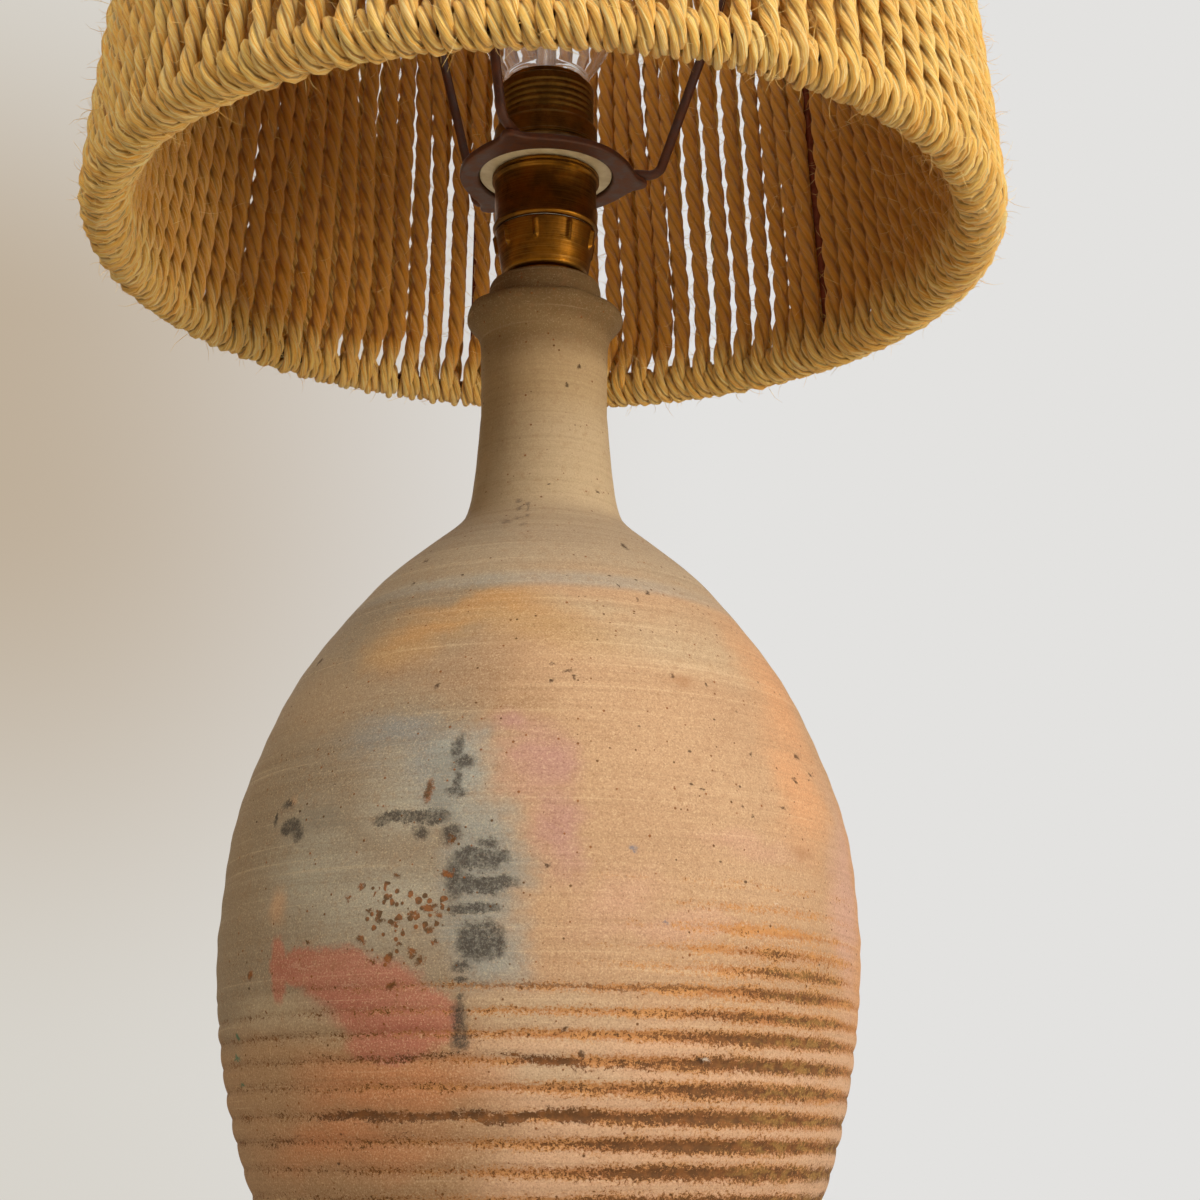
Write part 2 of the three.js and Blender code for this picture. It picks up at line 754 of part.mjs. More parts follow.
function frameStrut(azimuth) {
  const end = ringWire + seatGap;
  const points = [wallPoint(end, 0, azimuth), wallPoint(wallLength - end, 0, azimuth)];
  const inwards = points.map(() => new THREE.Vector3(-Math.sin(azimuth), Math.cos(azimuth), 0));
  return swept(points, inwards, strutRadius, wireSides);
}

for (let k = 0; k < armCount; k += 1) {
  const azimuth = armAzimuth + (round * k) / armCount;
  piece(`shade_arm_${k + 1}`, shadeArm(azimuth), darkSteel, shade);
}
piece("top_ring", frameRing(topRingRadius, topRingLevel), darkSteel, shade);
piece("bottom_ring", frameRing(bottomRingRadius, bottomRingLevel), darkSteel, shade);
for (let k = 0; k < strutCount; k += 1) {
  const azimuth = strutAzimuth + (round * k) / strutCount;
  piece(`shade_strut_${k + 1}`, frameStrut(azimuth), darkSteel, shade);
}

// Rope: each loop runs down outside, under the lower ring, up inside and over the upper ring.
// Inside runs stand half a step on from outside runs, and part where an arm passes between them.
// Between two arms there are as many loops as the rope's thickness leaves room for.
const ropeFlat = ropeRadius * Math.cos(Math.PI / ropeSides);
const ropeOffset = (ringWire + ropeWrapGap + ropeFlat) / Math.cos(Math.PI / (2 * bendSteps));
const innerTopRadius = topRingRadius - ropeOffset;
const armOpening = 2 * (armRadius + armPassGap + ropeRadius) / innerTopRadius;
const leastStep = (2 * ropeRadius + leastRopeGap) / innerTopRadius;
const loopsPerThird = Math.floor((round / armCount - armOpening) / leastStep);
const loopStep = round / armCount / loopsPerThird;

// How far an inside run moves away from the nearest arm, by its place from that arm
function partedBy(placeFromArm) {
  return Math.max(0, (armOpening - loopStep) / 2 - placeFromArm * (loopStep - leastStep));
}

function insideAzimuth(loop) {
  const place = ((loop % loopsPerThird) + loopsPerThird) % loopsPerThird;
  const fromNext = loopsPerThird - 1 - place;
  return armAzimuth + loopStep * (loop + 0.5) + partedBy(place) - partedBy(fromNext);
}

function outsideAzimuth(loop) {
  return armAzimuth + loopStep * loop;
}

// The half turn round a ring, from one azimuth to another
function bend(rise, startSide, fromAzimuth, toAzimuth) {
  return Array.from({ length: bendSteps + 1 }, (_, i) => {
    const share = i / bendSteps;
    const angle = Math.PI * share;
    return {
      rise: rise - startSide * ropeOffset * Math.sin(angle),
      offset: startSide * ropeOffset * Math.cos(angle),
      azimuth: fromAzimuth + (toAzimuth - fromAzimuth) * share,
      middle: rise,
    };
  });
}

function ropeRoute(firstLoop, loopCount) {
  const cutBack = 2 * ropeRadius + seatGap;
  const straight = (drop, azimuth) => ({
    rise: wallLength - drop, offset: ropeOffset, azimuth, middle: wallLength - drop,
  });
  const route = [straight(cutBack, outsideAzimuth(firstLoop))];
  for (let k = firstLoop; k < firstLoop + loopCount; k += 1) {
    route.push(...bend(0, 1, outsideAzimuth(k), insideAzimuth(k)));
    route.push(...bend(wallLength, -1, insideAzimuth(k), outsideAzimuth(k + 1)));
  }
  route.push(straight(2 * ropeRadius, outsideAzimuth(firstLoop + loopCount)));
  return route;
}

function ropeWinding(route) {
  const points = route.map(({ rise, offset, azimuth }) => wallPoint(rise, offset, azimuth));
  const inwards = route.map(({ middle, azimuth }, i) => (
    wallPoint(middle, 0, azimuth).sub(points[i]).normalize()
  ));
  return swept(points, inwards, ropeRadius, ropeSides);
}

// Least gap of the rope to itself, on points along its centreline, past the bend it comes from
function leastGap(route) {
  const corners = route.map(({ rise, offset, azimuth }) => wallPoint(rise, offset, azimuth));
  const samples = [];
  let travelled = 0;
  corners.slice(1).forEach((corner, i) => {
    const length = corner.distanceTo(corners[i]);
    const steps = Math.ceil(length / gapSampleStep);
    for (let k = 0; k < steps; k += 1) {
      const place = corners[i].clone().lerp(corner, k / steps);
      samples.push({ place, at: travelled + (length * k) / steps });
    }
    travelled += length;
  });
  let least = Infinity;
  samples.forEach((a, i) => samples.slice(i + 1).forEach((b) => {
    if (b.at - a.at > nearAlongRope) least = Math.min(least, a.place.distanceTo(b.place));
  }));
  return least - 2 * ropeRadius;
}

const shareStart = (third, k) => third * loopsPerThird
  + Math.round((loopsPerThird * k) / windingsPerThird);
for (let third = 0; third < armCount; third += 1) {
  for (let k = 0; k < windingsPerThird; k += 1) {
    const first = shareStart(third, k);
    const route = ropeRoute(first, shareStart(third, k + 1) - first);
    const number = String(third * windingsPerThird + k + 1).padStart(2, "0");
    console.log(`rope_winding_${number} least gap ${leastGap(route).toFixed(2)} mm`);
    piece(`rope_winding_${number}`, ropeWinding(route), sisal, shade);
  }
}

// Bulb
const bulbCapBottom = contactLevel + contactProud + insulatorProud;
const bulbCapTop = bulbCapBottom + bulbCapHeight;
const globeLevel = contactLevel + bulbLength - globeDrop;
const glassNeckLevel = bulbCapTop + seatGap;
const stemBottom = glassNeckLevel - glassStubLength;
const stemTop = stemBottom + stemLength;

function bulbCap() {
  const flare = glassNeckRadius - bulbCapRadius;
  const blank = turned([
    [bulbCapRadius - bulbCapWall, bulbCapBottom], [bulbCapRadius, bulbCapBottom],
    [bulbCapRadius, bulbCapTop - flare * 2], [glassNeckRadius, bulbCapTop],
    [glassNeckRadius - bulbCapWall, bulbCapTop],
    [bulbCapRadius - bulbCapWall, bulbCapTop - flare * 2], [bulbCapRadius - bulbCapWall, bulbCapBottom],
  ]);
  const pins = [1, -1].map((side) => crossBar(
    pinRadius, bulbCapRadius - bulbCapWall / 2, pinReach, pinLevel,
  ).rotateZ(side > 0 ? 0 : Math.PI));
  return join(blank, pins);
}

function bulbInsulator() {
  const radius = bulbCapRadius - bulbCapWall - seatGap;
  const bottom = contactLevel + contactProud;
  const disc = bar(radius, bottom, bottom + insulatorThickness, turnedSides);
  const holes = contactSides.map(([, x]) => bar(
    contactRadius + seatGap, bottom - cutOverrun, bottom + insulatorThickness + cutOverrun,
  ).translate(x, 0, 0));
  return cut(disc, holes);
}

function bulbContact(x) {
  const top = contactLevel + contactProud + insulatorThickness;
  return bar(contactRadius, contactLevel, top).translate(x, 0, 0);
}

// Thin glass, open at the bottom where the cap holds it
function glassEnvelope() {
  const flare = flareShares.map(([rise, widening]) => [
    glassNeckRadius + (globeRadius - glassNeckRadius) * widening,
    glassNeckLevel + (globeLevel - glassNeckLevel) * rise,
  ]);
  const domeHeight = contactLevel + bulbLength - globeLevel;
  const dome = Array.from({ length: domeSteps }, (_, i) => {
    const angle = (Math.PI / 2) * ((i + 1) / domeSteps);
    return [globeRadius * Math.cos(angle), globeLevel + domeHeight * Math.sin(angle)];
  });
  const outside = [[glassStubRadius, stemBottom], [glassStubRadius, glassNeckLevel], ...flare, ...dome];
  const inside = [...flare.slice(1), ...dome].map(([radius, level]) => [
    Math.max(radius - glassWall, 0), level > globeLevel ? level - glassWall : level,
  ]).reverse();
  const stubBore = glassStubRadius - glassWall;
  const mouth = [
    [stubBore, glassNeckLevel + glassWall], [stubBore, stemBottom], [glassStubRadius, stemBottom],
  ];
  return turned([...outside, ...inside, ...mouth], glassSides);
}

function glassStem() {
  return turned([
    [0, stemBottom], [stemFlare, stemBottom], [stemRadius, stemBottom + stemFlare],
    [stemRadius, stemTop - stemRadius], [stemRadius / 2, stemTop], [0, stemTop],
  ], smallSides);
}

// Two leads hold the ends of the filament, a little clear of it and of the stem
function filamentLead(azimuth) {
  const foot = supportWire + seatGap;
  const under = globeLevel - filamentWire - supportWire - seatGap;
  const points = [
    polar(foot, stemTop + seatGap, azimuth),
    polar(foot, stemTop + leadRise, azimuth),
    polar(filamentRing, under, azimuth),
    polar(filamentRing + supportWire, under, azimuth),
  ];
  const inwards = points.map(() => new THREE.Vector3(-Math.sin(azimuth), Math.cos(azimuth), 0));
  return swept(points, inwards, supportWire, thinWireSides);
}

function filament() {
  const points = [];
  const inwards = [];
  for (let i = 0; i <= filamentSteps; i += 1) {
    const azimuth = filamentGap / 2 + ((round - filamentGap) * i) / filamentSteps;
    points.push(polar(filamentRing, globeLevel, azimuth));
    inwards.push(polar(-1, 0, azimuth));
  }
  return swept(points, inwards, filamentWire, thinWireSides);
}

piece("bulb_cap", bulbCap(), brass, bulb);
piece("bulb_insulator", bulbInsulator(), blackGlass, bulb);
contactSides.forEach(([side, x]) => piece(`bulb_contact_${side}`, bulbContact(x), zincSteel, bulb));
piece("glass_envelope", glassEnvelope(), clearGlass, bulb);
piece("glass_stem", glassStem(), clearGlass, bulb);
piece("filament_lead_left", filamentLead(round / 2 - filamentGap / 2), tungsten, bulb);
piece("filament_lead_right", filamentLead(filamentGap / 2), tungsten, bulb);
piece("filament", filament(), tungsten, bulb);

export default lamp;
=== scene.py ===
import json
import math

import bpy
import numpy as np
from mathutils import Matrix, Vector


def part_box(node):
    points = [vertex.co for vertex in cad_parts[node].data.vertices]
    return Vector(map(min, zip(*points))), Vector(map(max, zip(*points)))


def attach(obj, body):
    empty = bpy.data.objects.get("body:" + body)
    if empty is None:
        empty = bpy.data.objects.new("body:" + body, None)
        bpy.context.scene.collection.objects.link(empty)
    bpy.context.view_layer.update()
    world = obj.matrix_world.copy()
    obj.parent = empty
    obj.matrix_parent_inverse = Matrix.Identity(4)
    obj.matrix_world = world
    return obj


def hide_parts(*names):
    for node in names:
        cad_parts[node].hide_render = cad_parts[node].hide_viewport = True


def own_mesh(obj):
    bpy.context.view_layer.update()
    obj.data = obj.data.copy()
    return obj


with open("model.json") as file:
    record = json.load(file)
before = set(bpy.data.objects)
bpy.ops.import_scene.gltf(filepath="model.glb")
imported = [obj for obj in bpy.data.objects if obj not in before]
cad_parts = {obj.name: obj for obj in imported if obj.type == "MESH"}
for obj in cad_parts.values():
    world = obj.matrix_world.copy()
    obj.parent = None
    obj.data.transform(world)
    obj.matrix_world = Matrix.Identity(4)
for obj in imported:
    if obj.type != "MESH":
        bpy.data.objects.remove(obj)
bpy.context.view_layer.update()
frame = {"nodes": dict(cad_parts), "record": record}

# Camera: stands low in front of the lamp and looks up, a little to the right of its axis.
camera_place = (0.01675, -0.6095, 0.051)
camera_pitch = math.radians(104.585)
camera_lens = 64.485
camera_sensor = 36

camera_data = bpy.data.cameras.new("camera")
camera_data.lens = camera_lens
camera_data.sensor_width = camera_sensor
camera_data.clip_start = 0.01
camera = bpy.data.objects.new("camera", camera_data)
camera.location = camera_place
camera.rotation_euler = (camera_pitch, 0, 0)
bpy.context.scene.collection.objects.link(camera)
bpy.context.scene.camera = camera

# Stoneware bottle: thrown on the wheel in coarse sandy clay, with the maker's finger grooves left on
# its lower half, and fired with wood. The flame left peach and grey sides, ash-iron in the grooves
# and smoke marks. It stands on its turned foot and carries everything else.
millimetre = 0.001
bottle_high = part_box("stoneware_bottle")[1]
bottle_height = bottle_high[2]
belly_radius = bottle_high[0]
belly_level = 0.1095
lower_semi_height = 0.137
foot_radius = 0.052
foot_chamfer = 0.0024
bottle_wall = 0.006
bottle_floor = 0.009
neck_radius = 0.0188
neck_waist_level = 0.266
mouth_bore = 0.011
neck_bore = 0.0128
neck_bore_top = 0.272
neck_bore_foot = 0.235
mouth_bore_foot = 0.2845
bottle_sides = 224
rod_sides = 32
# Between the belly and the neck's waist: share of that height, share of the narrowing still left
shoulder_shares = [
    (0, 1), (0.177, 0.961), (0.324, 0.862), (0.475, 0.705), (0.633, 0.441),
    (0.714, 0.247), (0.765, 0.11), (0.8, 0.054), (0.873, 0.024), (1, 0),
]
# Radius and level of the neck between its waist and the lip
neck_outline = [(0.01885, 0.275), (0.0190, 0.283)]
# Radius and depth under the mouth's top, from the neck's top over the lip to the mouth
lip_outline = [
    (0.0193, 0.0201), (0.0205, 0.0165), (0.0229, 0.0136), (0.0235, 0.0118), (0.0229, 0.0100),
    (0.0203, 0.0089), (0.0172, 0.0083), (0.0170, 0.0062), (0.0169, 0.0030), (0.0162, 0.0008),
    (0.0146, 0),
]
groove_levels = [
    0.1290, 0.1238, 0.1182, 0.1122, 0.1066, 0.1013, 0.0965, 0.0912, 0.0854, 0.0801, 0.0738, 0.0675,
    0.0608, 0.0545, 0.0479, 0.0411, 0.0344, 0.0277, 0.0210, 0.0145, 0.0080,
]
groove_depth = 0.0006
groove_slant = 0.00068
# Level, share of the grooves' depth that is left there
groove_foot = [(0.003, 0), (0.010, 1)]
groove_fade = [(0.080, 1), (0.096, 0.42), (0.120, 0.2), (0.127, 0)]
groove_front_level = 0.0935
groove_end_level = 0.127
groove_skin = 0.003
lip_level = 0.2965
lip_spread = 0.004
cord_hole_level = 0.032
cord_hole_radius = 0.0055


def paint(red, green, blue):
    """A colour given as it is seen, in steps of 255."""
    shares = [value / 255 for value in (red, green, blue)]
    straight = [v / 12.92 if v <= 0.04045 else ((v + 0.055) / 1.055) ** 2.4 for v in shares]
    return (*straight, 1)


def smooth_through(points, steps):
    """A smooth line through points, with the given steps between two of them."""
    path = np.array(points, float)
    padded = np.vstack([2 * path[0] - path[1], path, 2 * path[-1] - path[-2]])
    line = []
    for a, b, c, d in zip(padded, padded[1:], padded[2:], padded[3:]):
        for t in np.arange(steps) / steps:
            line.append(0.5 * (
                2 * b + (c - a) * t + (2 * a - 5 * b + 4 * c - d) * t ** 2
                + (3 * b - a - 3 * c + d) * t ** 3
            ))
    line.append(path[-1])
    return np.array(line)


def mesh_of(vertices, faces):
    mesh = bpy.data.meshes.new("mesh")
    mesh.from_pydata(vertices, [], faces)
    return mesh


def turned_mesh(outline, sides, closed=True, shape=None):
    """Turns an outline of radius and height about the lamp's axis, outside going up.

    A closed outline makes a ring or tube. An open one starts and ends on the axis. The shape
    function may move each row of points by its angle.
    """
    angles = np.linspace(0, 2 * math.pi, sides, endpoint=False)
    vertices = []
    rows = []
    for radius, height in outline:
        if radius == 0:
            rows.append([len(vertices)] * sides)
            vertices.append((0, 0, height))
            continue
        radii = np.full(sides, radius)
        heights = np.full(sides, height)
        if shape:
            radii, heights = shape(angles, radii, heights)
        rows.append(range(len(vertices), len(vertices) + sides))
        vertices += list(zip(radii * np.cos(angles), radii * np.sin(angles), heights))
    faces = []
    upper_rows = rows[1:] + rows[:1] if closed else rows[1:]
    for lower, upper in zip(rows, upper_rows):
        for k in range(sides):
            after = (k + 1) % sides
            ring = (lower[k], lower[after], upper[after], upper[k])
            faces.append(tuple(dict.fromkeys(ring)))
    mesh = mesh_of(vertices, faces)
    mesh.shade_smooth()
    return mesh


def scene_object(name, data):
    """A plain object that shows a mesh, curve, lamp or camera."""
    made = bpy.data.objects.new(name, data)
    bpy.context.scene.collection.objects.link(made)
    return made


def settled_mesh(blank):
    """The mesh of an object with its modifiers applied. The object itself is taken away."""
    graph = bpy.context.evaluated_depsgraph_get()
    mesh = bpy.data.meshes.new_from_object(blank.evaluated_get(graph))
    bpy.data.objects.remove(blank)
    return mesh


def bored_mesh(mesh, cutters):
    """Cuts the cutter meshes out of a mesh."""
    blank = scene_object("blank", mesh)
    tools = [scene_object("tool", cutter) for cutter in cutters]
    for tool in tools:
        cut = blank.modifiers.new("cut", "BOOLEAN")
        cut.object = tool
        cut.solver = "EXACT"
    bored = settled_mesh(blank)
    for tool in tools:
        bpy.data.objects.remove(tool)
    return bored


def rod_mesh(radius, start, end):
    """A plain rod between two points."""
    start = np.array(start, float)
    along = np.array(end, float) - start
    length = np.linalg.norm(along)
    along /= length
    aside = np.cross(along, (0, 0, 1) if abs(along[2]) < 0.9 else (1, 0, 0))
    aside /= np.linalg.norm(aside)
    across = np.cross(along, aside)
    angles = np.linspace(0, 2 * math.pi, rod_sides, endpoint=False)
    ring = np.array([math.cos(a) * aside + math.sin(a) * across for a in angles]) * radius
    vertices = np.vstack([start + ring, start + along * length + ring])
    faces = [(k, (k + 1) % rod_sides, rod_sides + (k + 1) % rod_sides, rod_sides + k)
             for k in range(rod_sides)]
    faces += [tuple(range(rod_sides - 1, -1, -1)), tuple(range(rod_sides, 2 * rod_sides))]
    return mesh_of(vertices.tolist(), faces)


def fit_piece(name, mesh, finish, body, slot, *nodes):
    """Puts a finished mesh on its body, in its finish, in place of its solids."""
    mesh.name = name
    mesh.materials.clear()
    mesh.materials.append(finish)
    piece = scene_object(name, mesh)
    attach(piece, body)
    if nodes:
        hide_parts(*nodes)


def feed(socket, value):
    """Links a socket to another one, or gives it a plain value."""
    if isinstance(value, bpy.types.NodeSocket):
        socket.id_data.links.new(value, socket)
    else:
        socket.default_value = value


def add_node(tree, kind, *feeds, **named):
    """Adds a node and feeds its sockets, in order or by name.

    A name in small letters is a setting of the node, and one with a capital is a socket.
    """
    node = tree.nodes.new(kind)
    for key, value in named.items():
        if key.islower():
            setattr(node, key, value)
    for socket, value in zip(node.inputs, feeds):
        feed(socket, value)
    for key, value in named.items():
        if not key.islower():
            feed(node.inputs[key.replace("_", " ")], value)
    return node


def new_finish(name, **sockets):
    """A material with one shader, whose even values are set on the shader's own sockets."""
    finish = bpy.data.materials.new(name)
    finish.use_nodes = True
    shader = finish.node_tree.nodes["Principled BSDF"]
    for key, value in sockets.items():
        feed(shader.inputs[key.replace("_", " ")], value)
    return finish, finish.node_tree, shader


def tree_of(feeds):
    return next(value.id_data for value in feeds if isinstance(value, bpy.types.NodeSocket))


def calc(operation, *feeds):
    """A sum of numbers and sockets, in the tree that its first socket belongs to."""
    return add_node(tree_of(feeds), "ShaderNodeMath", *feeds, operation=operation).outputs[0]


def times(first, second):
    return calc("MULTIPLY", first, second)


def plus(first, second):
    return calc("ADD", first, second)


def minus(first, second):
    return calc("SUBTRACT", first, second)


def ramp(value, low, high, start=0.0, end=1.0):
    """Goes softly from start to end while the value goes from low to high."""
    return add_node(value.id_data, "ShaderNodeMapRange", value, low, high, start, end,
                    interpolation_type="SMOOTHSTEP").outputs[0]


def vector_calc(operation, *feeds):
    return add_node(tree_of(feeds), "ShaderNodeVectorMath", *feeds, operation=operation).outputs


def axes_of(vector):
    return add_node(vector.id_data, "ShaderNodeSeparateXYZ", vector).outputs


def cloud(place, scale, detail=3.0, roughness=0.5, distortion=0.0, output=0):
    return add_node(place.id_data, "ShaderNodeTexNoise", place, Scale=scale, Detail=detail,
                    Roughness=roughness, Distortion=distortion).outputs[output]


def stretch(place, *scales):
    return vector_calc("MULTIPLY", place, scales)[0]


def store(mesh, name, values):
    """Gives a mesh a value for each of its points."""
    mesh.attributes.new(name, "FLOAT", "POINT").data.foreach_set("value", values)


def stored(tree, name):
    """A value that the mesh carries for each of its points."""
    return add_node(tree, "ShaderNodeAttribute", attribute_name=name, attribute_type="GEOMETRY").outputs


def colour_mix(share, first, second):
    """Goes from the first colour to the second by a share."""
    node = add_node(share.id_data, "ShaderNodeMix", share, data_type="RGBA")
    feed(node.inputs[6], first)
    feed(node.inputs[7], second)
    return node.outputs[2]


def object_place(tree):
    return add_node(tree, "ShaderNodeTexCoord").outputs["Object"]


def emboss(shader, height, distance, strength=1.0):
    """Lets a height pattern stand out of the surface."""
    bump = add_node(shader.id_data, "ShaderNodeBump", Strength=strength, Distance=distance,
                    Height=height)
    feed(shader.inputs["Normal"], bump.outputs[0])


def bottle_radius(levels):
    """Radius of the bottle's smooth outside up to the neck's waist."""
    shoulder = smooth_through([
        (belly_level + (neck_waist_level - belly_level) * rise,
         neck_radius + (belly_radius - neck_radius) * width) for rise, width in shoulder_shares
    ], steps=12)
    below = belly_radius * np.sqrt(np.maximum(0, 1 - ((belly_level - levels) / lower_semi_height) ** 2))
    return np.where(levels < belly_level, below, np.interp(levels, shoulder[:, 0], shoulder[:, 1]))


def groove_share(angles, heights):
    """How far the wall is drawn in by a finger groove, from 0 on a ridge to 1 in the groove."""
    from_front = np.arctan2(np.cos(angles), -np.sin(angles))
    slanted = heights + groove_slant * np.sin(from_front)
    count = np.interp(slanted, groove_levels[::-1], np.arange(len(groove_levels))[::-1])
    channel = 1 - np.abs(np.sin(math.pi * count)) ** 0.7
    ridged_side = np.exp(-(((from_front - 0.9) / 0.75) ** 2))
    upper_edge = np.interp(heights, *zip(*groove_fade))
    upper_edge = np.where(heights > groove_front_level, upper_edge * ridged_side, upper_edge)
    return channel * upper_edge * np.interp(heights, *zip(*groove_foot))


def bottle_shape(angles, radii, heights):
    """The small unevenness of a thrown wall, its grooves and the wavy lip."""
    wobble = np.sin(2 * angles + 0.6) * 0.35 + np.sin(3 * angles + heights * 60) * 0.2
    waves = np.sin(heights * 700 + np.sin(angles) * 1.5) * 0.10
    moved = radii + (wobble + waves) * millimetre * np.clip(radii / belly_radius, 0, 1)
    moved = moved - groove_share(angles, heights) * groove_depth
    lip = np.exp(-(((heights - lip_level) / lip_spread) ** 2))
    ripple = np.sin(5 * angles + 1) * 0.28 + np.sin(9 * angles) * 0.18 + np.sin(2 * angles) * 0.3
    return moved + lip * ripple * millimetre * 0.6, heights + lip * ripple * millimetre


def bottle_outline():
    """Foot, wall, neck and lip going up, then the inside going down. Rows are close at the grooves."""
    fine_end = 0.097
    levels = np.concatenate([
        np.arange(foot_chamfer, fine_end, 0.00062), np.arange(fine_end, groove_end_level, 0.001),
        np.arange(groove_end_level, neck_waist_level, 0.0022),
    ])
    wall = list(zip(bottle_radius(levels), levels))
    neck_and_lip = smooth_through(
        [(neck_radius, neck_waist_level), *neck_outline]
        + [(radius, bottle_height - depth) for radius, depth in lip_outline], steps=4,
    )
    foot_hollow = 0.0016
    foot = [(0, foot_hollow), (foot_radius - 0.012, foot_hollow), (foot_radius - 0.009, 0),
            (foot_radius, 0), (foot_radius + 0.0009, 0.0008)]
    inside = [(mouth_bore + 0.0012, bottle_height - 0.0004), (mouth_bore, bottle_height - 0.0016),
              (mouth_bore, mouth_bore_foot), (neck_bore, neck_bore_top), (neck_bore, neck_bore_foot)]
    inside += [(max(bottle_radius(np.array([level + 0.002]))[0] - bottle_wall, neck_bore), level)
               for level in np.arange(0.2, 0.02, -0.009)]
    inside += [(foot_radius - 0.006, bottle_floor), (0, bottle_floor)]
    return foot + wall + [tuple(point) for point in neck_and_lip] + inside


def stoneware_finish():
    """Wood-fired clay: peach and grey sides, flame blushes, smoke marks, ash-iron in the grooves."""
    finish, tree, shader = new_finish(
        "wood_fired_stoneware", Roughness=0.82, Specular_IOR_Level=0.28, IOR=1.45,
    )
    place = object_place(tree)
    axes = axes_of(place)
    azimuth = calc("ARCTAN2", axes[0], times(axes[1], -1.0))
    level = axes[2]
    flat_place = add_node(tree, "ShaderNodeCombineXYZ", azimuth, level, 0.0).outputs[0]

    def strayed(noise_colour, *reach):
        """The flat place, pushed aside unevenly, so that the edges of marks wander."""
        centred = vector_calc("ADD", noise_colour, (-0.5, -0.5, -0.5))[0]
        return vector_calc("MULTIPLY_ADD", centred, reach, flat_place)[0]

    soft_noise = cloud(stretch(place, 1, 1, 1.7), 24, 5, 0.6, output="Color")
    soft_place = strayed(soft_noise, 0.42, 0.030, 0)
    crisp_place = strayed(cloud(place, 190, 6, 0.85, output="Color"), 0.075, 0.0085, 0)

    def marks(where, table, inner=0.1, outer=1.5, square=False):
        """Full inside every listed oval of azimuth, level and half sizes, and fading round it."""
        nearest = None
        round_the_back = [(degrees - math.copysign(360, degrees), *rest) for degrees, *rest in table
                          if abs(degrees) + rest[1] * outer > 180]
        for degrees, height, half_degrees, half_height in table + round_the_back:
            wide = math.radians(half_degrees)
            high = half_height * millimetre
            away = (-math.radians(degrees) / wide, -height * millimetre / high, 0)
            reach = vector_calc("MULTIPLY_ADD", where, (1 / wide, 1 / high, 0), away)[0]
            if square:
                reach = vector_calc("MULTIPLY", reach, reach)[0]
            reach = vector_calc("LENGTH", reach)["Value"]
            nearest = reach if nearest is None else calc("MINIMUM", nearest, reach)
        return ramp(nearest, inner, outer, 1.0, 0.0)

    def tinted(body, where, rows):
        """Goes over the body's colour with rows of share, colour, ovals and their edges."""
        for share, colour, table, *edges in rows:
            body = colour_mix(times(marks(where, table, *edges), share), body, paint(*colour))
        return body

    # Two sides: peach where the flame passed, grey where it was short of air
    tone = cloud(stretch(place, 1, 1, 1.6), 18, 5, 0.6)
    mottle = cloud(place, 420, 4, 0.7)
    peach = colour_mix(ramp(tone, 0.3, 0.7), paint(189, 153, 120), paint(196, 161, 127))
    grey = colour_mix(ramp(tone, 0.3, 0.7), paint(154, 139, 119), paint(146, 132, 112))
    turned_by = axes_of(soft_place)[0]
    left = times(ramp(turned_by, 0.02, -0.30), ramp(turned_by, -2.9, -2.2))
    body = colour_mix(left, peach, grey)
    body = tinted(body, soft_place, [
        (0.7, (156, 136, 110), [(-66, 140, 16, 60), (-75, 60, 24, 40)]),
        (0.85, (174, 169, 154), [(-27, 112, 19, 13), (-40, 122, 14, 14), (-18, 140, 12, 10)]),
        (0.75, (141, 145, 145), [(-24, 153, 14, 6), (-14, 147, 8, 10)]),
        (0.9, (158, 161, 155), [(-8, 121, 6.5, 22), (-6.5, 103, 7, 13), (-11, 142, 5, 14)], 0.35, 1.4),
        (0.7, (176, 152, 124), [(-42, 168, 26, 12), (-10, 206, 40, 6)]),
        (0.5, (170, 160, 150), [(150, 120, 34, 40), (-140, 60, 40, 34)]),
    ])

    # Blushes of the flame: ochre on the shoulder, pink and orange lower down
    body = tinted(body, soft_place, [
        (0.75, (170, 136, 104), [(-12, 172, 15, 11), (-2, 163, 9, 8), (-26, 178, 10, 8)]),
        (0.9, (186, 150, 106), [
            (-10, 189, 28, 8), (6, 184, 16, 9), (-30, 183, 12, 8), (-170, 170, 40, 14),
        ]),
        (0.6, (194, 144, 88), [(-9, 193, 22, 3), (-24, 187, 9, 3)], 0.0, 1.6),
        (0.7, (190, 168, 138), [(34, 184, 24, 11), (16, 194, 16, 4)]),
        (0.8, (216, 160, 116), [
            (62, 172, 11, 26), (56, 146, 9, 20), (84, 100, 20, 50), (120, 130, 26, 30),
        ]),
        (0.55, (206, 166, 158), [(70, 116, 8, 30), (-120, 140, 20, 24)]),
        (0.85, (184, 140, 130), [(1.5, 146, 6, 13), (3.5, 129, 5, 11), (-3, 157, 5, 6)], 0.1, 1.35),
        (0.4, (206, 160, 140), [(24, 104, 16, 3), (14, 112, 8, 8), (40, 128, 12, 4)]),
    ])

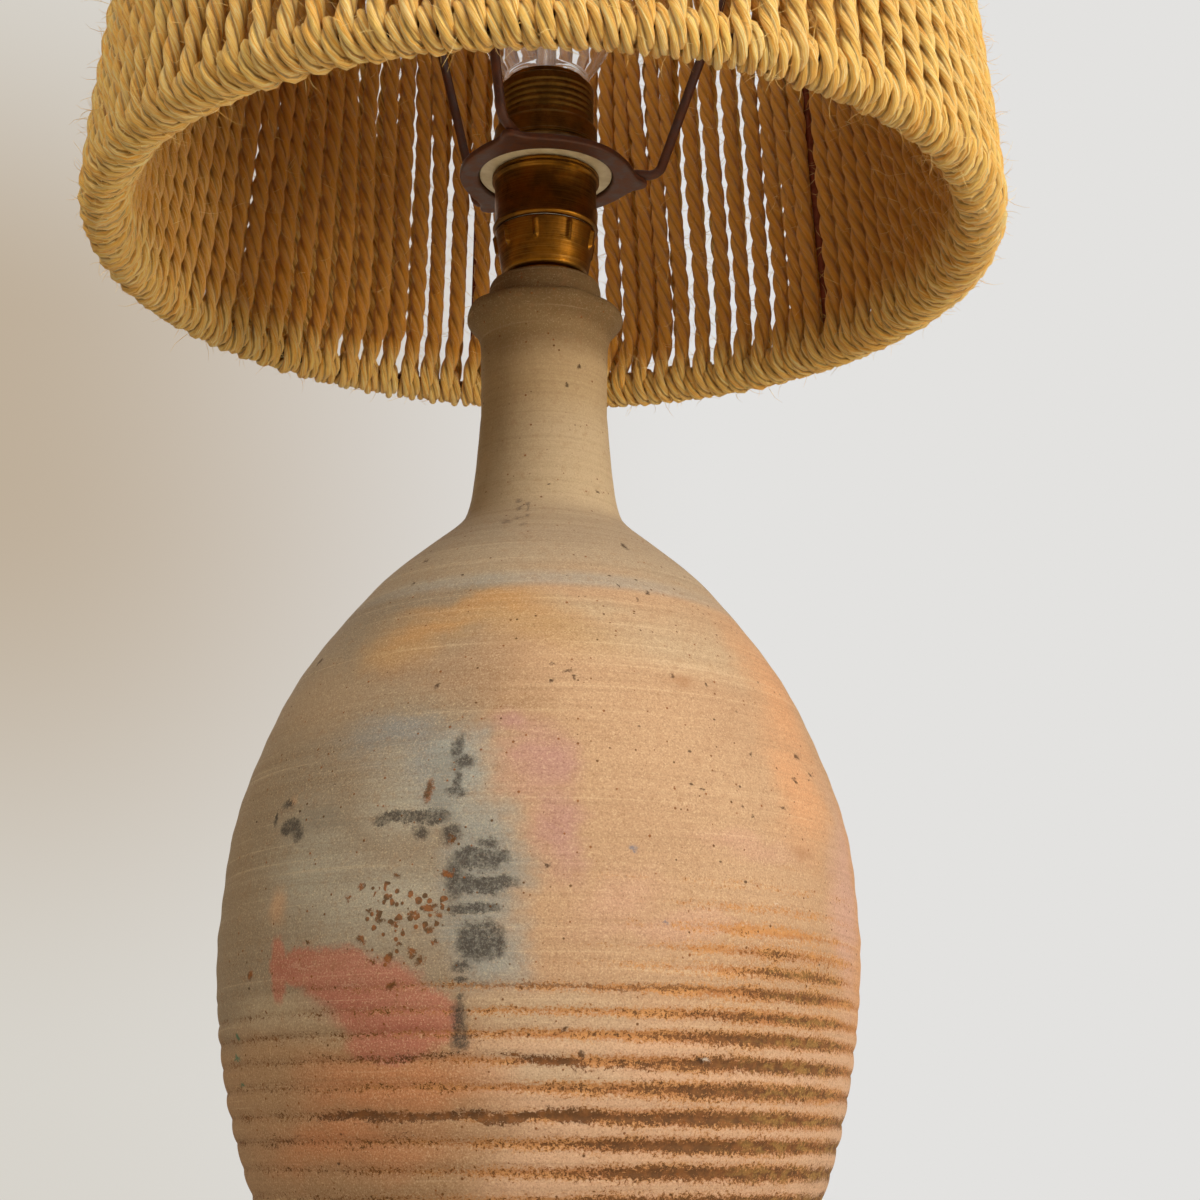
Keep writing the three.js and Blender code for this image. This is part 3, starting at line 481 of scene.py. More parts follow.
    # Lower half: warmer, with the red mark that a pot standing close by left on the left side
    low = ramp(plus(level, times(minus(tone, 0.5), 0.03)), 0.092, 0.074)
    lower_tone = colour_mix(left, paint(213, 174, 143), paint(178, 141, 104))
    body = colour_mix(times(low, 0.85), body, lower_tone)
    body = tinted(body, soft_place, [
        (0.6, (190, 171, 143), [(2, 84, 13, 7), (4, 71, 10, 5), (-46, 84, 18, 8)]),
        (0.7, (204, 132, 88), [(-24, 68, 17, 8), (-36, 56, 20, 8)]),
    ])
    body = tinted(body, crisp_place, [
        (0.85, (186, 118, 98), [
            (-46.3, 97, 2.6, 8.5), (-40.5, 97.5, 6.5, 5.2), (-33, 95, 8.5, 7.6), (-25, 88, 9.5, 11),
            (-17, 84, 6.2, 7.6), (-23, 78, 9, 5), (-118, 112, 14, 12),
        ], 0.72, 1.12),
    ])
    body = tinted(body, soft_place, [
        (0.5, (170, 98, 84), [(-29, 88, 9, 6), (-22, 81, 8, 5), (-43, 97, 4, 4)]),
    ])
    body = tinted(body, crisp_place, [
        (0.55, (214, 176, 152), [
            (-40, 97.6, 4.5, 0.35), (-30, 92.6, 3, 0.25), (-18, 79.5, 1.2, 0.5), (-33, 83, 1.5, 0.3),
        ], 0.2, 1.3),
        (0.5, (210, 160, 118), [(-47, 113, 2.5, 5), (-46, 140.5, 1.2, 1.2)]),
    ])

    # Neck: a thin blue-grey line under it, taupe above, and browner up under the shade, partly painted
    # shade
    line = times(ramp(level, 0.1975, 0.2005), ramp(level, 0.2055, 0.2020))
    line = times(line, ramp(calc("ABSOLUTE", azimuth), 1.3, 0.5, 0.25, 0.6))
    body = colour_mix(line, body, paint(164, 163, 154))
    height_strayed = plus(level, times(minus(tone, 0.5), 0.02))
    # The two top bands under the lip are partly stain and partly painted shadow of the shade above
    for low_level, high_level, colour in (
        (0.200, 0.210, (176, 158, 133)), (0.221, 0.236, (198, 175, 140)),
        (0.254, 0.272, (184, 157, 117)), (0.276, 0.288, (133, 107, 71)), (0.289, 0.295, (114, 89, 55)),
    ):
        body = colour_mix(ramp(height_strayed, low_level, high_level, 0.0, 0.85), body, paint(*colour))
    body = tinted(body, soft_place, [
        (0.5, (150, 124, 84), [(-60, 262, 50, 20), (-50, 288, 60, 8), (150, 270, 60, 20)]),
    ])
    body = tinted(body, crisp_place, [
        (0.7, (112, 96, 82), [
            (-16, 232.5, 2.6, 0.9), (-13.5, 230, 2.4, 0.7), (-9.5, 231, 1.8, 0.6), (-8, 230, 0.8, 1.2),
            (-7.2, 226.5, 1.5, 1.1), (-7.6, 223, 1.8, 0.7), (-17, 224.5, 3.5, 0.6), (-12, 226, 3.5, 0.5),
        ], 0.2, 1.4),
    ])

    # Turning lines, cloudy firing and sand in the clay
    turning = cloud(stretch(place, 9, 9, 900), 1, 3, 0.6)
    body = colour_mix(ramp(turning, 0.45, 0.70, 0.0, 0.16), body, paint(128, 100, 70))
    body = colour_mix(ramp(turning, 0.40, 0.28, 0.0, 0.22), body, paint(232, 208, 172))
    body = colour_mix(ramp(mottle, 0.50, 0.72, 0.0, 0.26), body, paint(150, 108, 70))
    sand = cloud(place, 2000, 3, 0.8)
    sandy = ramp(level, 0.185, 0.250, 0.42, 0.20)
    body = colour_mix(times(ramp(sand, 0.52, 0.68), sandy), body, paint(238, 216, 178))
    body = colour_mix(times(ramp(sand, 0.48, 0.34), sandy), body, paint(112, 78, 50))

    # Ash-iron held in the grooves: an orange band and brown grains, thick and dark on the right
    channel = calc("POWER", stored(tree, "groove")["Fac"], 0.55)
    grit = minus(cloud(place, 1200, 3, 0.9), 0.5)
    clots = minus(cloud(stretch(place, 1, 1, 3.5), 90, 4, 0.65), 0.5)
    on_right = ramp(turned_by, -0.8, 0.3, 0.45, 1.0)
    sided = calc("MAXIMUM", on_right, ramp(turned_by, -2.2, -3.0, 0.45, 1.0))
    heavy = marks(soft_place, [(38, 54, 34, 27), (44, 78, 26, 14), (48, 94, 20, 9), (95, 40, 50, 40),
                               (170, 50, 60, 44), (-6, 60.6, 46, 1.9), (8, 73.8, 40, 1.6)], 0.3, 1.3)
    rows = marks(soft_place, [(46, 92, 28, 26), (40, 60, 36, 30)], 0.3, 1.3)
    band = plus(times(channel, sided), times(grit, 2.0))
    band = plus(band, times(clots, 0.9))
    band = plus(band, times(rows, 0.32))
    orange = colour_mix(ramp(clots, -0.15, 0.15), paint(176, 112, 56), paint(206, 146, 84))
    body = colour_mix(ramp(band, 0.38, 0.72, 0.0, 0.85), body, orange)
    wanted = times(channel, calc("MULTIPLY_ADD", heavy, 0.60, 0.58))
    wanted = plus(wanted, calc("MULTIPLY_ADD", heavy, 0.14, clots))
    wanted = plus(wanted, times(grit, 3.0))
    iron = ramp(wanted, 0.60, 0.74)
    rust_tone = colour_mix(ramp(mottle, 0.4, 0.62), paint(84, 54, 30), paint(122, 78, 42))
    patches = cloud(stretch(place, 1, 1, 2), 220, 3, 0.6)
    ochre = times(ramp(turned_by, 0.5, 0.85), ramp(patches, 0.46, 0.56))
    ochre = times(ochre, ramp(grit, -0.12, 0.08, 0.95, 0.3))
    ochre = times(ochre, ramp(turned_by, 2.9, 2.2))
    rust_tone = colour_mix(ochre, rust_tone, paint(166, 132, 72))
    body = colour_mix(times(iron, 0.9), body, rust_tone)
    body = tinted(body, crisp_place, [
        (0.75, (116, 76, 44), [(30, 91.2, 42, 0.34)], 0.3, 1.5, True),
    ])

    # Smoke marks: dark bars and blobs, broken up by the grain
    haze = marks(soft_place, [(-8, 114, 8, 22), (-37, 133.2, 12, 2.5), (-13, 138, 4, 12)], 0.2, 1.3)
    body = colour_mix(times(haze, 0.3), body, paint(112, 106, 96))
    smoke = calc("MAXIMUM", marks(crisp_place, [
        (-20, 132.6, 6.6, 1.7), (-24, 132.8, 2.6, 1.9), (-8.2, 121.8, 4.6, 2.6), (-7.6, 115.6, 5.2, 2.3),
        (-8.6, 109.6, 4.2, 1.3), (-7.6, 101.8, 3.9, 4.6), (-45.5, 133.2, 2.8, 1.9),
    ], 0.55, 1.35, True), marks(crisp_place, [
        (-13, 151, 1.1, 3.2), (-11.6, 146.6, 1.9, 1.8), (-12.6, 141, 0.9, 3.8), (-12.8, 138.8, 1.9, 0.9),
        (-18, 128.8, 1.3, 1.9), (-43.6, 131.2, 1.6, 1.9), (-50.4, 136.6, 0.5, 2.2),
        (-47.4, 139.6, 1.9, 1.1),
        (-13, 128, 1.8, 2.6), (-7, 126, 1.9, 1.3), (-10.6, 96, 1.9, 1.3), (-10.9, 92.8, 1.2, 0.8),
        (-11.2, 83, 1.3, 6.4), (-11.2, 78.6, 1.7, 2.6), (-11.2, 89, 0.6, 0.8), (-12.4, 117, 1.6, 5.2),
    ], 0.45, 1.4))
    smoke = times(smoke, ramp(grit, -0.16, 0.06, 0.45, 1.0))
    smoke = times(smoke, ramp(mottle, 0.34, 0.52, 0.6, 1.0))
    body = colour_mix(times(smoke, 0.9), body, paint(66, 61, 56))

    # Rust spots in a cluster, and dark pits and green flecks
    cells = add_node(tree, "ShaderNodeTexVoronoi", place, Scale=620).outputs
    spread = marks(soft_place, [(-21, 107, 10, 9), (-15, 108, 4, 8), (-24, 114, 6, 5)], 0.4, 1.15)
    cell_chance = add_node(tree, "ShaderNodeSeparateColor", cells["Color"]).outputs[0]
    big = plus(times(cell_chance, 0.95), times(spread, 0.5))
    spots = ramp(minus(big, cells["Distance"]), 0.66, 0.77)
    single = marks(crisp_place, [
        (-30.6, 113.6, 0.5, 0.6), (-28.2, 116, 0.6, 0.6), (-21.8, 118, 0.9, 0.9), (-13.6, 118.4, 1.3, 0.9),
        (-28, 103.2, 1.0, 1.0), (-22.8, 98.4, 1.0, 1.5), (-22.6, 91.8, 0.9, 1.1), (-26, 97, 0.7, 0.8),
        (-16.2, 104.4, 0.8, 1.2), (-15.2, 101.6, 0.6, 0.8), (-17.6, 97.4, 0.7, 1.0),
        (-38.6, 103.6, 0.6, 0.6), (-16, 110.4, 2.0, 0.6), (-18.6, 108.6, 1.1, 0.7),
        (-24.6, 107.2, 1.1, 0.8), (-22, 106.6, 0.9, 0.8), (-26.4, 110.6, 0.8, 0.8),
        (-14.2, 108.4, 0.8, 0.9), (-18.8, 99.4, 0.8, 0.8), (-20.8, 101.6, 0.7, 0.6),
        (-55, 96.5, 1.0, 1.2), (-12.8, 126.6, 0.7, 0.9), (-17.4, 139, 0.8, 3.0),
    ], 0.5, 1.15)
    rust = calc("MAXIMUM", spots, single)
    rust_colour = colour_mix(ramp(mottle, 0.4, 0.6), paint(88, 58, 24), paint(142, 84, 38))
    body = colour_mix(times(rust, 0.88), body, rust_colour)
    pits = add_node(tree, "ShaderNodeTexVoronoi", stretch(place, 1, 1, 1.5), Scale=150).outputs
    rare = add_node(tree, "ShaderNodeSeparateColor", pits["Color"]).outputs[0]
    pit = times(ramp(rare, 0.86, 0.90), ramp(pits["Distance"], 0.10, 0.05))
    pit = calc("MAXIMUM", pit, marks(crisp_place, [
        (2.4, 120, 0.5, 0.7), (-19, 168, 0.8, 0.8), (-60, 183, 1.6, 0.8), (33.5, 215.5, 1.8, 0.5),
        (30.5, 198.4, 0.7, 0.5), (22.5, 199.6, 0.5, 0.4), (26.6, 195.8, 0.4, 0.4), (34, 276.8, 2.2, 0.7),
        (22.5, 270, 2.0, 0.4), (58, 155, 1.0, 0.7), (62, 151, 1.1, 0.5), (54, 148, 0.9, 0.4),
        (30, 141, 0.4, 0.8), (40, 135.5, 0.5, 0.4), (48, 139, 0.8, 0.3), (43, 153, 0.4, 0.5),
        (3.5, 173.6, 0.9, 0.3), (6.5, 171, 1.0, 0.3), (8, 169.4, 0.6, 0.4), (3.2, 169, 0.4, 0.4),
        (28.4, 172, 0.4, 0.3), (36.5, 171, 0.6, 0.4), (5.5, 238, 1.4, 0.4), (48, 238.6, 2.6, 0.6),
        (-42, 211.5, 1.6, 0.5), (-39, 203, 0.8, 0.4), (-36, 143, 0.4, 0.4), (5.5, 80.9, 0.7, 0.5),
        (8.2, 75.4, 0.6, 0.6), (28.6, 74, 0.8, 0.6),
    ], 0.3, 1.15))
    body = colour_mix(times(pit, 0.8), body, paint(82, 58, 40))
    body = tinted(body, crisp_place, [
        (0.5, (168, 122, 84), [(30, 171, 3.2, 1.6), (52, 128, 3.5, 2)]),
        (0.8, (112, 116, 132), [(16.6, 124.6, 0.5, 0.9), (21.8, 106.4, 0.5, 0.5)]),
        (0.8, (232, 222, 208), [(29.8, 74.6, 0.7, 0.6), (44, 114, 0.3, 0.3)]),
        (0.9, (84, 122, 98), [
            (-62, 81.5, 1.0, 0.9), (-63, 76.2, 1.8, 0.5), (-62, 69.5, 1.2, 0.6),
        ], 0.5, 1.2),
    ])
    feed(shader.inputs["Base Color"], body)

    rough = plus(ramp(sand, 0.3, 0.7, 0.76, 0.92), times(iron, -0.10))
    feed(shader.inputs["Roughness"], rough)
    height = times(sand, 0.55)
    height = plus(height, times(turning, 0.34))
    height = plus(height, times(grit, 0.35))
    height = minus(height, times(pit, 1.4))
    height = plus(height, times(calc("MAXIMUM", rust, iron), 0.35))
    emboss(shader, height, 0.00035, 0.8)
    return finish


bottle_mesh = turned_mesh(bottle_outline(), bottle_sides, closed=False, shape=bottle_shape)
cord_hole = rod_mesh(cord_hole_radius, (0, 0.03, cord_hole_level), (0, 0.12, cord_hole_level))
bottle_mesh = bored_mesh(bottle_mesh, [cord_hole])
bottle_points = np.empty(len(bottle_mesh.vertices) * 3)
bottle_mesh.vertices.foreach_get("co", bottle_points)
point_x, point_y, point_z = bottle_points.reshape(-1, 3).T
outside = np.hypot(point_x, point_y) > bottle_radius(np.minimum(point_z, belly_level)) - groove_skin
bottle_grooves = groove_share(np.arctan2(point_y, point_x), point_z) * outside
store(bottle_mesh, "groove", bottle_grooves)
stoneware = stoneware_finish()
fit_piece("stoneware_bottle_thrown", bottle_mesh, stoneware, "base", "stoneware", "stoneware_bottle")

# Cord bush: a soft black rubber sleeve pressed into the hole at the back of the bottle.
bush_radius = 0.0052
bush_bore = 0.0036
bush_low, bush_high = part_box("cord_bush")


def eased(outline, radius):
    """Rounds the corners of a closed outline, with two extra points that hold the flats flat."""
    path = [np.array(point, float) for point in outline]
    hold = 1.3
    most_share = 0.36
    rounded = []
    for i, corner in enumerate(path):
        to_before = path[i - 1] - corner
        to_after = path[(i + 1) % len(path)] - corner
        reach_before, reach_after = np.linalg.norm(to_before), np.linalg.norm(to_after)
        cut = min(radius, reach_before * most_share, reach_after * most_share)
        first = corner + to_before / reach_before * cut
        last = corner + to_after / reach_after * cut
        rounded.append(tuple(corner + to_before / reach_before * cut * hold))
        for t in (0, 0.33, 0.67, 1):
            rounded.append(tuple((1 - t) ** 2 * first + 2 * t * (1 - t) * corner + t * t * last))
        rounded.append(tuple(corner + to_after / reach_after * cut * hold))
    return rounded


def clouded_finish(name, grain, tones, span=(0.3, 0.7), rough=None, relief=None, **sockets):
    """Goes from one tone and roughness to another in clouds, which can stand out a little."""
    finish, tree, shader = new_finish(name, **sockets)
    clouds = cloud(object_place(tree), *grain)
    first, second = tones
    feed(shader.inputs["Base Color"], colour_mix(ramp(clouds, *span), paint(*first), paint(*second)))
    if rough:
        feed(shader.inputs["Roughness"], ramp(clouds, 0.3, 0.7, *rough))
    if relief:
        emboss(shader, clouds, *relief)
    return finish


def ring_outline(bore, radius, low, high):
    return [(bore, low), (radius, low), (radius, high), (bore, high)]


rubber = clouded_finish(
    "black_rubber", (400, 4, 0.6), [(34, 30, 28), (62, 56, 50)], span=(0.4, 0.75), rough=(0.6, 0.85),
    relief=(0.0002, 0.4), Specular_IOR_Level=0.35,
)
bush_mesh = turned_mesh(
    eased(ring_outline(bush_bore, bush_radius, bush_low[1], bush_high[1]), radius=0.0006), sides=48,
)
for vertex in bush_mesh.vertices:
    x, y, z = vertex.co
    vertex.co = (x, z, cord_hole_level - y)
fit_piece("cord_bush_moulded", bush_mesh, rubber, "base", "rubber", "cord_bush")

# Lampholder: spun and pressed brass, screwed on the nipple that the bung holds in the bottle's
# mouth. The cap has pressed grip ribs, the shell a bead, a double rolled rim, the rolled thread for
# the shade ring, and the barrel whose two slots take the bulb's pins.
seat_low, seat_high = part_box("seat_washer")
cap_low, cap_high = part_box("lampholder_cap")
shell_low, shell_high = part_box("lampholder_shell")
nipple_clearance = 0.0053
cap_foot_radius = 0.0129
cap_top_radius = 0.0154
cap_wall = 0.0011
cap_bore = 0.0132
rib_count = 9
rib_width = 0.0007
rib_proud = 0.001
rib_low = cap_high[2] - 0.0072
rib_high = cap_high[2] - 0.0006
tube_radius = 0.0156
tube_bore = 0.0148
tube_top = shell_low[2] + 0.0187
thread_crest = 0.0148
thread_depth = 0.00045
thread_pitch = 0.0021
thread_turns = 5
thread_land = 0.0016
skirt_bore = 0.0136
barrel_radius = 0.0125
barrel_bore = 0.0116
barrel_top = shell_high[2] - 0.0075
ledge_low = tube_top - 0.0012
ledge_high = ledge_low + 0.0028
pin_level = shell_high[2] - 0.0155
grub_level = cap_low[2] + 0.0048
grub_hole_radius = 0.0016


def brass_finish(name, bright, dark, tarnish_low, tarnish_high):
    """Old brass: warm metal, brown tarnish in clouds, and fine lines from spinning."""
    finish, tree, shader = new_finish(name, Metallic=1.0)
    place = object_place(tree)
    clouds = cloud(place, 120, 5, 0.65)
    lines = cloud(stretch(place, 60, 60, 5200), 1, 2, 0.5)
    specks = cloud(place, 1300, 3, 0.7)
    colour = colour_mix(ramp(clouds, 0.32, 0.68), dark, bright)
    colour = colour_mix(ramp(specks, 0.60, 0.74, 0.0, 0.55), colour, paint(70, 46, 24))
    colour = colour_mix(ramp(lines, 0.4, 0.7, 0.0, 0.18), colour, paint(220, 172, 90))
    feed(shader.inputs["Base Color"], colour)
    rough = plus(ramp(clouds, 0.3, 0.7, tarnish_high, tarnish_low), times(lines, 0.08))
    feed(shader.inputs["Roughness"], rough)
    emboss(shader, plus(lines, times(specks, 0.5)), 0.00012, 0.35)
    return finish


def rib_shape(angles, radii, heights):
    """Pressed ribs on the outside of the cap, rounded at both ends."""
    turn = 2 * math.pi / rib_count
    end = 0.0008
    away = np.abs(angles % turn - turn / 2) * radii
    across = np.clip(1 - (away / rib_width) ** 2, 0, 1)
    along = np.clip((heights - rib_low) / end, 0, 1) * np.clip((rib_high - heights) / end, 0, 1)
    outside = radii > cap_foot_radius - cap_wall / 2
    return radii + rib_proud * across * along * outside, heights


def thread_shape(angles, radii, heights):
    """A right-hand thread rolled into the skirt."""
    thread_top = shell_high[2] - thread_land
    thread_start = thread_top - thread_pitch * thread_turns
    share = (heights - thread_start) / thread_pitch - angles / (2 * math.pi)
    ridge = 0.5 + 0.5 * np.cos(2 * math.pi * share)
    end = 0.0010
    fade = np.clip((heights - thread_start) / end, 0, 1) * np.clip((thread_top - heights) / end, 0, 1)
    threaded = (radii > skirt_bore + 0.0002) & (heights > tube_top + 0.002) & (fade > 0)
    return np.where(threaded, radii - thread_depth * fade * (1 - ridge ** 0.7), radii), heights


def cap_outline():
    lean = (cap_top_radius - cap_foot_radius) / (cap_high[2] - cap_low[2])

    def outside(height):
        return cap_foot_radius + lean * (height - cap_low[2])

    wall = [(outside(h), h) for h in np.linspace(cap_low[2] + 0.0012, cap_high[2] - 0.0004, 46)]
    ledge = cap_high[2] - 0.0015
    floor = cap_low[2] + 0.0016
    boss_radius = 0.008
    boss_top = cap_low[2] + 0.008
    return [
        (nipple_clearance, cap_low[2]), (cap_foot_radius - 0.0013, cap_low[2]),
        (cap_foot_radius - 0.0004, cap_low[2] + 0.0003), *wall,
        (cap_top_radius - 0.0004, cap_high[2]), (cap_bore, cap_high[2]), (cap_bore, ledge),
        (outside(ledge) - cap_wall, ledge), (outside(floor) - cap_wall, floor), (boss_radius, floor),
        (boss_radius, boss_top), (nipple_clearance, boss_top),
    ]


def shell_outline():
    bead = [(tube_radius + 0.00055 * math.sin(math.pi * s), shell_low[2] + 0.0019 * s)
            for s in np.linspace(0, 1, 9)]
    roll = 0.0014
    rolls = []
    for below in (2, 1):
        rolls += [(tube_radius + 0.0002 + 0.0007 * math.sin(math.pi * s) ** 0.8,
                   tube_top - roll * below + roll * s) for s in np.linspace(0.02, 0.98, 9)]
    skirt = [(thread_crest, h) for h in np.arange(tube_top + 0.0006, shell_high[2] - 0.0003, 0.00017)]
    return [
        (tube_bore, shell_low[2]), *bead, (tube_radius, tube_top - 0.0034), *rolls,
        (thread_crest + 0.0004, tube_top), *skirt, (thread_crest - 0.0003, shell_high[2]),
        (skirt_bore, shell_high[2]), (skirt_bore, ledge_high), (barrel_radius, ledge_high),
        (barrel_radius, barrel_top), (barrel_bore, barrel_top), (barrel_bore, ledge_low),
        (tube_bore, ledge_low),
    ]


def slot_cutters():
    """The two bayonet slots: down from the barrel's top, along, and up a little to the pin."""
    width = 0.0026
    floor = pin_level - 0.002 - width / 2
    middle_radius = (barrel_bore + barrel_radius) / 2
    turn = math.radians(22)
    steps = 8
    tops = [pin_level + width / 2] + [floor + width] * (steps - 1) + [barrel_top + 0.001]
    sides = [(0, 1, 3, 2), (4, 6, 7, 5), (0, 4, 5, 1), (2, 3, 7, 6), (0, 2, 6, 4), (1, 5, 7, 3)]
    cutters = []
    for start in (math.pi / 2, 3 * math.pi / 2):
        for k, top in enumerate(tops):
            direction = start + turn * (k / steps)
            corners = []
            for out in (middle_radius - 0.0009, middle_radius + 0.0009):
                for aside in (-width / 2, width / 2):
                    x = out * math.cos(direction) - aside * math.sin(direction)
                    y = out * math.sin(direction) + aside * math.cos(direction)
                    corners += [(x, y, (floor + top) / 2 + half) for half in
                                (-(top - floor) / 2, (top - floor) / 2)]
            cutters.append(mesh_of(corners, sides))
    return cutters


cap_brass = brass_finish("cap_brass", paint(140, 90, 20), paint(76, 46, 8), 0.30, 0.46)
skirt_brass = brass_finish("skirt_brass", paint(146, 112, 50), paint(92, 70, 30), 0.36, 0.54)

seat_outline = ring_outline(nipple_clearance, seat_high[0], seat_low[2], seat_high[2])
fit_piece("seat_washer_turned", turned_mesh(eased(seat_outline, radius=0.0003), sides=96),
          cap_brass, "base", "brass", "seat_washer")
grub_hole = rod_mesh(grub_hole_radius, (0, 0.005, grub_level), (0, 0.017, grub_level))
cap_mesh = bored_mesh(turned_mesh(cap_outline(), sides=288, shape=rib_shape), [grub_hole])
fit_piece("lampholder_cap_pressed", cap_mesh, cap_brass, "base", "brass", "lampholder_cap")
shell_mesh = bored_mesh(turned_mesh(shell_outline(), sides=160, shape=thread_shape), slot_cutters())
shell_mesh.set_sharp_from_angle(angle=math.radians(50))
fit_piece("lampholder_shell_pressed", shell_mesh, cap_brass, "base", "brass", "lampholder_shell")
shell_mesh.materials.append(skirt_brass)
for face in shell_mesh.polygons:
    if face.center[2] > tube_top + 0.0002:
        face.material_index = 1

# Shade fixing: the cream reducer ring sits on the rolled rim, the steel carrier hangs on it, and a
# flared collar and a ring nut of spun brass clamp them down from above.
reducer_low, reducer_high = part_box("reducer_ring")
carrier_low, carrier_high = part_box("carrier_ring")
cup_low, cup_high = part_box("shade_ring_cup")
ring_low, ring_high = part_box("shade_ring")
thread_clearance = 0.0151
reducer_radius = 0.0204
carrier_hole = 0.0207
carrier_radius = 0.0265
carrier_plate_top = carrier_high[2] - 0.0011
carrier_lip_bore = 0.0174
carrier_lip_radius = 0.0224
ear_root = 0.0230
ear_reach = 0.0318
ear_tip = 0.0032
arm_azimuth = math.radians(10)
arm_count = 3


def dark_steel_finish(name, lacquer, rubbed):
    """Wire and plate lacquered dark brown, rubbed and a little rusty."""
    finish, tree, shader = new_finish(name, Specular_IOR_Level=0.5)
    place = object_place(tree)
    rub = cloud(place, 260, 5, 0.65)
    grain = cloud(place, 1500, 3, 0.6)
    colour = colour_mix(ramp(rub, 0.35, 0.7), lacquer, rubbed)
    colour = colour_mix(ramp(grain, 0.58, 0.74, 0.0, 0.7), colour, paint(120, 72, 44))
    feed(shader.inputs["Base Color"], colour)
    feed(shader.inputs["Roughness"], ramp(rub, 0.3, 0.7, 0.42, 0.66))
    feed(shader.inputs["Metallic"], ramp(rub, 0.35, 0.7, 0.15, 0.5))
    emboss(shader, plus(rub, times(grain, 0.5)), 0.0002, 0.4)
    return finish


def ear_shape(angles, radii, heights):
    """Draws the carrier's outer edge out to its three ears."""
    tip_centre = ear_reach - ear_tip
    tangent = math.acos((carrier_radius - ear_tip) / tip_centre)
    touch = math.atan2(ear_tip * math.sin(tangent), tip_centre + ear_tip * math.cos(tangent))
    turn = 2 * math.pi / arm_count
    away = np.abs((angles - arm_azimuth + turn / 2) % turn - turn / 2)
    rounding = np.maximum(0, ear_tip ** 2 - (tip_centre * np.sin(away)) ** 2)
    tip = tip_centre * np.cos(away) + np.sqrt(rounding)
    flank = carrier_radius / np.cos(away - tangent)
    swept = np.clip((away - touch) / (tangent - touch), 0, 1)
    flank = carrier_radius + (flank - carrier_radius) * (1 - 0.5 * np.sin(math.pi * swept ** 0.7))
    reach = np.where(away > tangent, carrier_radius, np.where(away > touch, flank, tip))
    outer = np.clip((radii - ear_root) / (carrier_radius - ear_root), 0, 1)
    return radii + (reach - carrier_radius) * outer, heights


dark_steel = dark_steel_finish("dark_steel", paint(74, 44, 31), paint(110, 66, 43))
rusty_steel = dark_steel_finish("rusty_steel", paint(140, 66, 34), paint(112, 52, 30))
cream_plastic = clouded_finish(
    "cream_plastic", (180, 4, 0.6), [(226, 210, 172), (206, 187, 145)], rough=(0.35, 0.55),
    relief=(0.0001, 0.3), Specular_IOR_Level=0.45,
)
reducer_outline = ring_outline(thread_clearance, reducer_radius, reducer_low[2], reducer_high[2])
reducer_mesh = turned_mesh(eased(reducer_outline, radius=0.0003), sides=128)
fit_piece("reducer_ring_moulded", reducer_mesh, cream_plastic, "shade", "cream_plastic",
          "reducer_ring")
carrier_mesh = turned_mesh(eased([
    (carrier_lip_bore, carrier_plate_top), (carrier_hole, carrier_plate_top),
    (carrier_hole, carrier_low[2]), (ear_root, carrier_low[2]), (carrier_radius, carrier_low[2]),
    (carrier_radius, carrier_plate_top), (ear_root, carrier_plate_top),
    (carrier_lip_radius, carrier_high[2]), (carrier_lip_bore, carrier_high[2]),
], radius=0.0007), sides=240, shape=ear_shape)
fit_piece("carrier_ring_pressed", carrier_mesh, dark_steel, "shade", "dark_steel", "carrier_ring")
cup_neck = 0.0164
cup_mesh = turned_mesh(eased([
    (thread_clearance, cup_low[2]), (cup_high[0], cup_low[2]), (cup_high[0], cup_low[2] + 0.001),
    (cup_neck + 0.0008, cup_high[2] - 0.0016), (cup_neck, cup_high[2] - 0.0006),
    (cup_neck, cup_high[2]), (thread_clearance, cup_high[2]),
], radius=0.0005), sides=128)
fit_piece("shade_ring_cup_spun", cup_mesh, skirt_brass, "ring_collar", "brass", "shade_ring_cup")
ring_foot, ring_side, ring_edge = 0.0163, 0.0159, 0.0155
ring_mesh = turned_mesh(eased([
    (thread_clearance, ring_low[2]), (ring_foot, ring_low[2]), (ring_foot, ring_low[2] + 0.0009),
    (ring_side, ring_low[2] + 0.0013), (ring_side, ring_high[2] - 0.0009), (ring_edge, ring_high[2]),
    (thread_clearance, ring_high[2]),
], radius=0.0003), sides=128)
fit_piece("shade_ring_spun", ring_mesh, skirt_brass, "shade_ring", "brass", "shade_ring")

# Shade frame: three bent wire arms, a large ring below, a smaller one above and six struts, all of
# round steel wire welded together and lacquered dark before the rope goes on.
top_low, top_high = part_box("top_ring")
bottom_low, bottom_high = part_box("bottom_ring")
ring_wire = 0.002
arm_wire = 0.0015
strut_wire = 0.0014
top_ring_radius = 0.108
bottom_ring_radius = 0.13175
top_level = (top_low[2] + top_high[2]) / 2
bottom_level = (bottom_low[2] + bottom_high[2]) / 2
arm_level = carrier_plate_top + 0.0003 + arm_wire
arm_foot = 0.0236
arm_bend = 0.0355
arm_bend_radius = 0.005
strut_azimuth = math.radians(43)
strut_count = 6
wall_lean = math.atan2(bottom_ring_radius - top_ring_radius, top_level - bottom_level)
wall_length = math.hypot(bottom_ring_radius - top_ring_radius, top_level - bottom_level)


def polar_point(radius, height, azimuth):
    return (radius * math.cos(azimuth), radius * math.sin(azimuth), height)


def wall_point(rise, offset, azimuth):
    """A place on the shade's wall: distance up from the lower ring, and out from the rings' line."""
    radius = bottom_ring_radius - rise * math.sin(wall_lean) + offset * math.cos(wall_lean)
    height = bottom_level + rise * math.cos(wall_lean) + offset * math.sin(wall_lean)
    return polar_point(radius, height, azimuth)


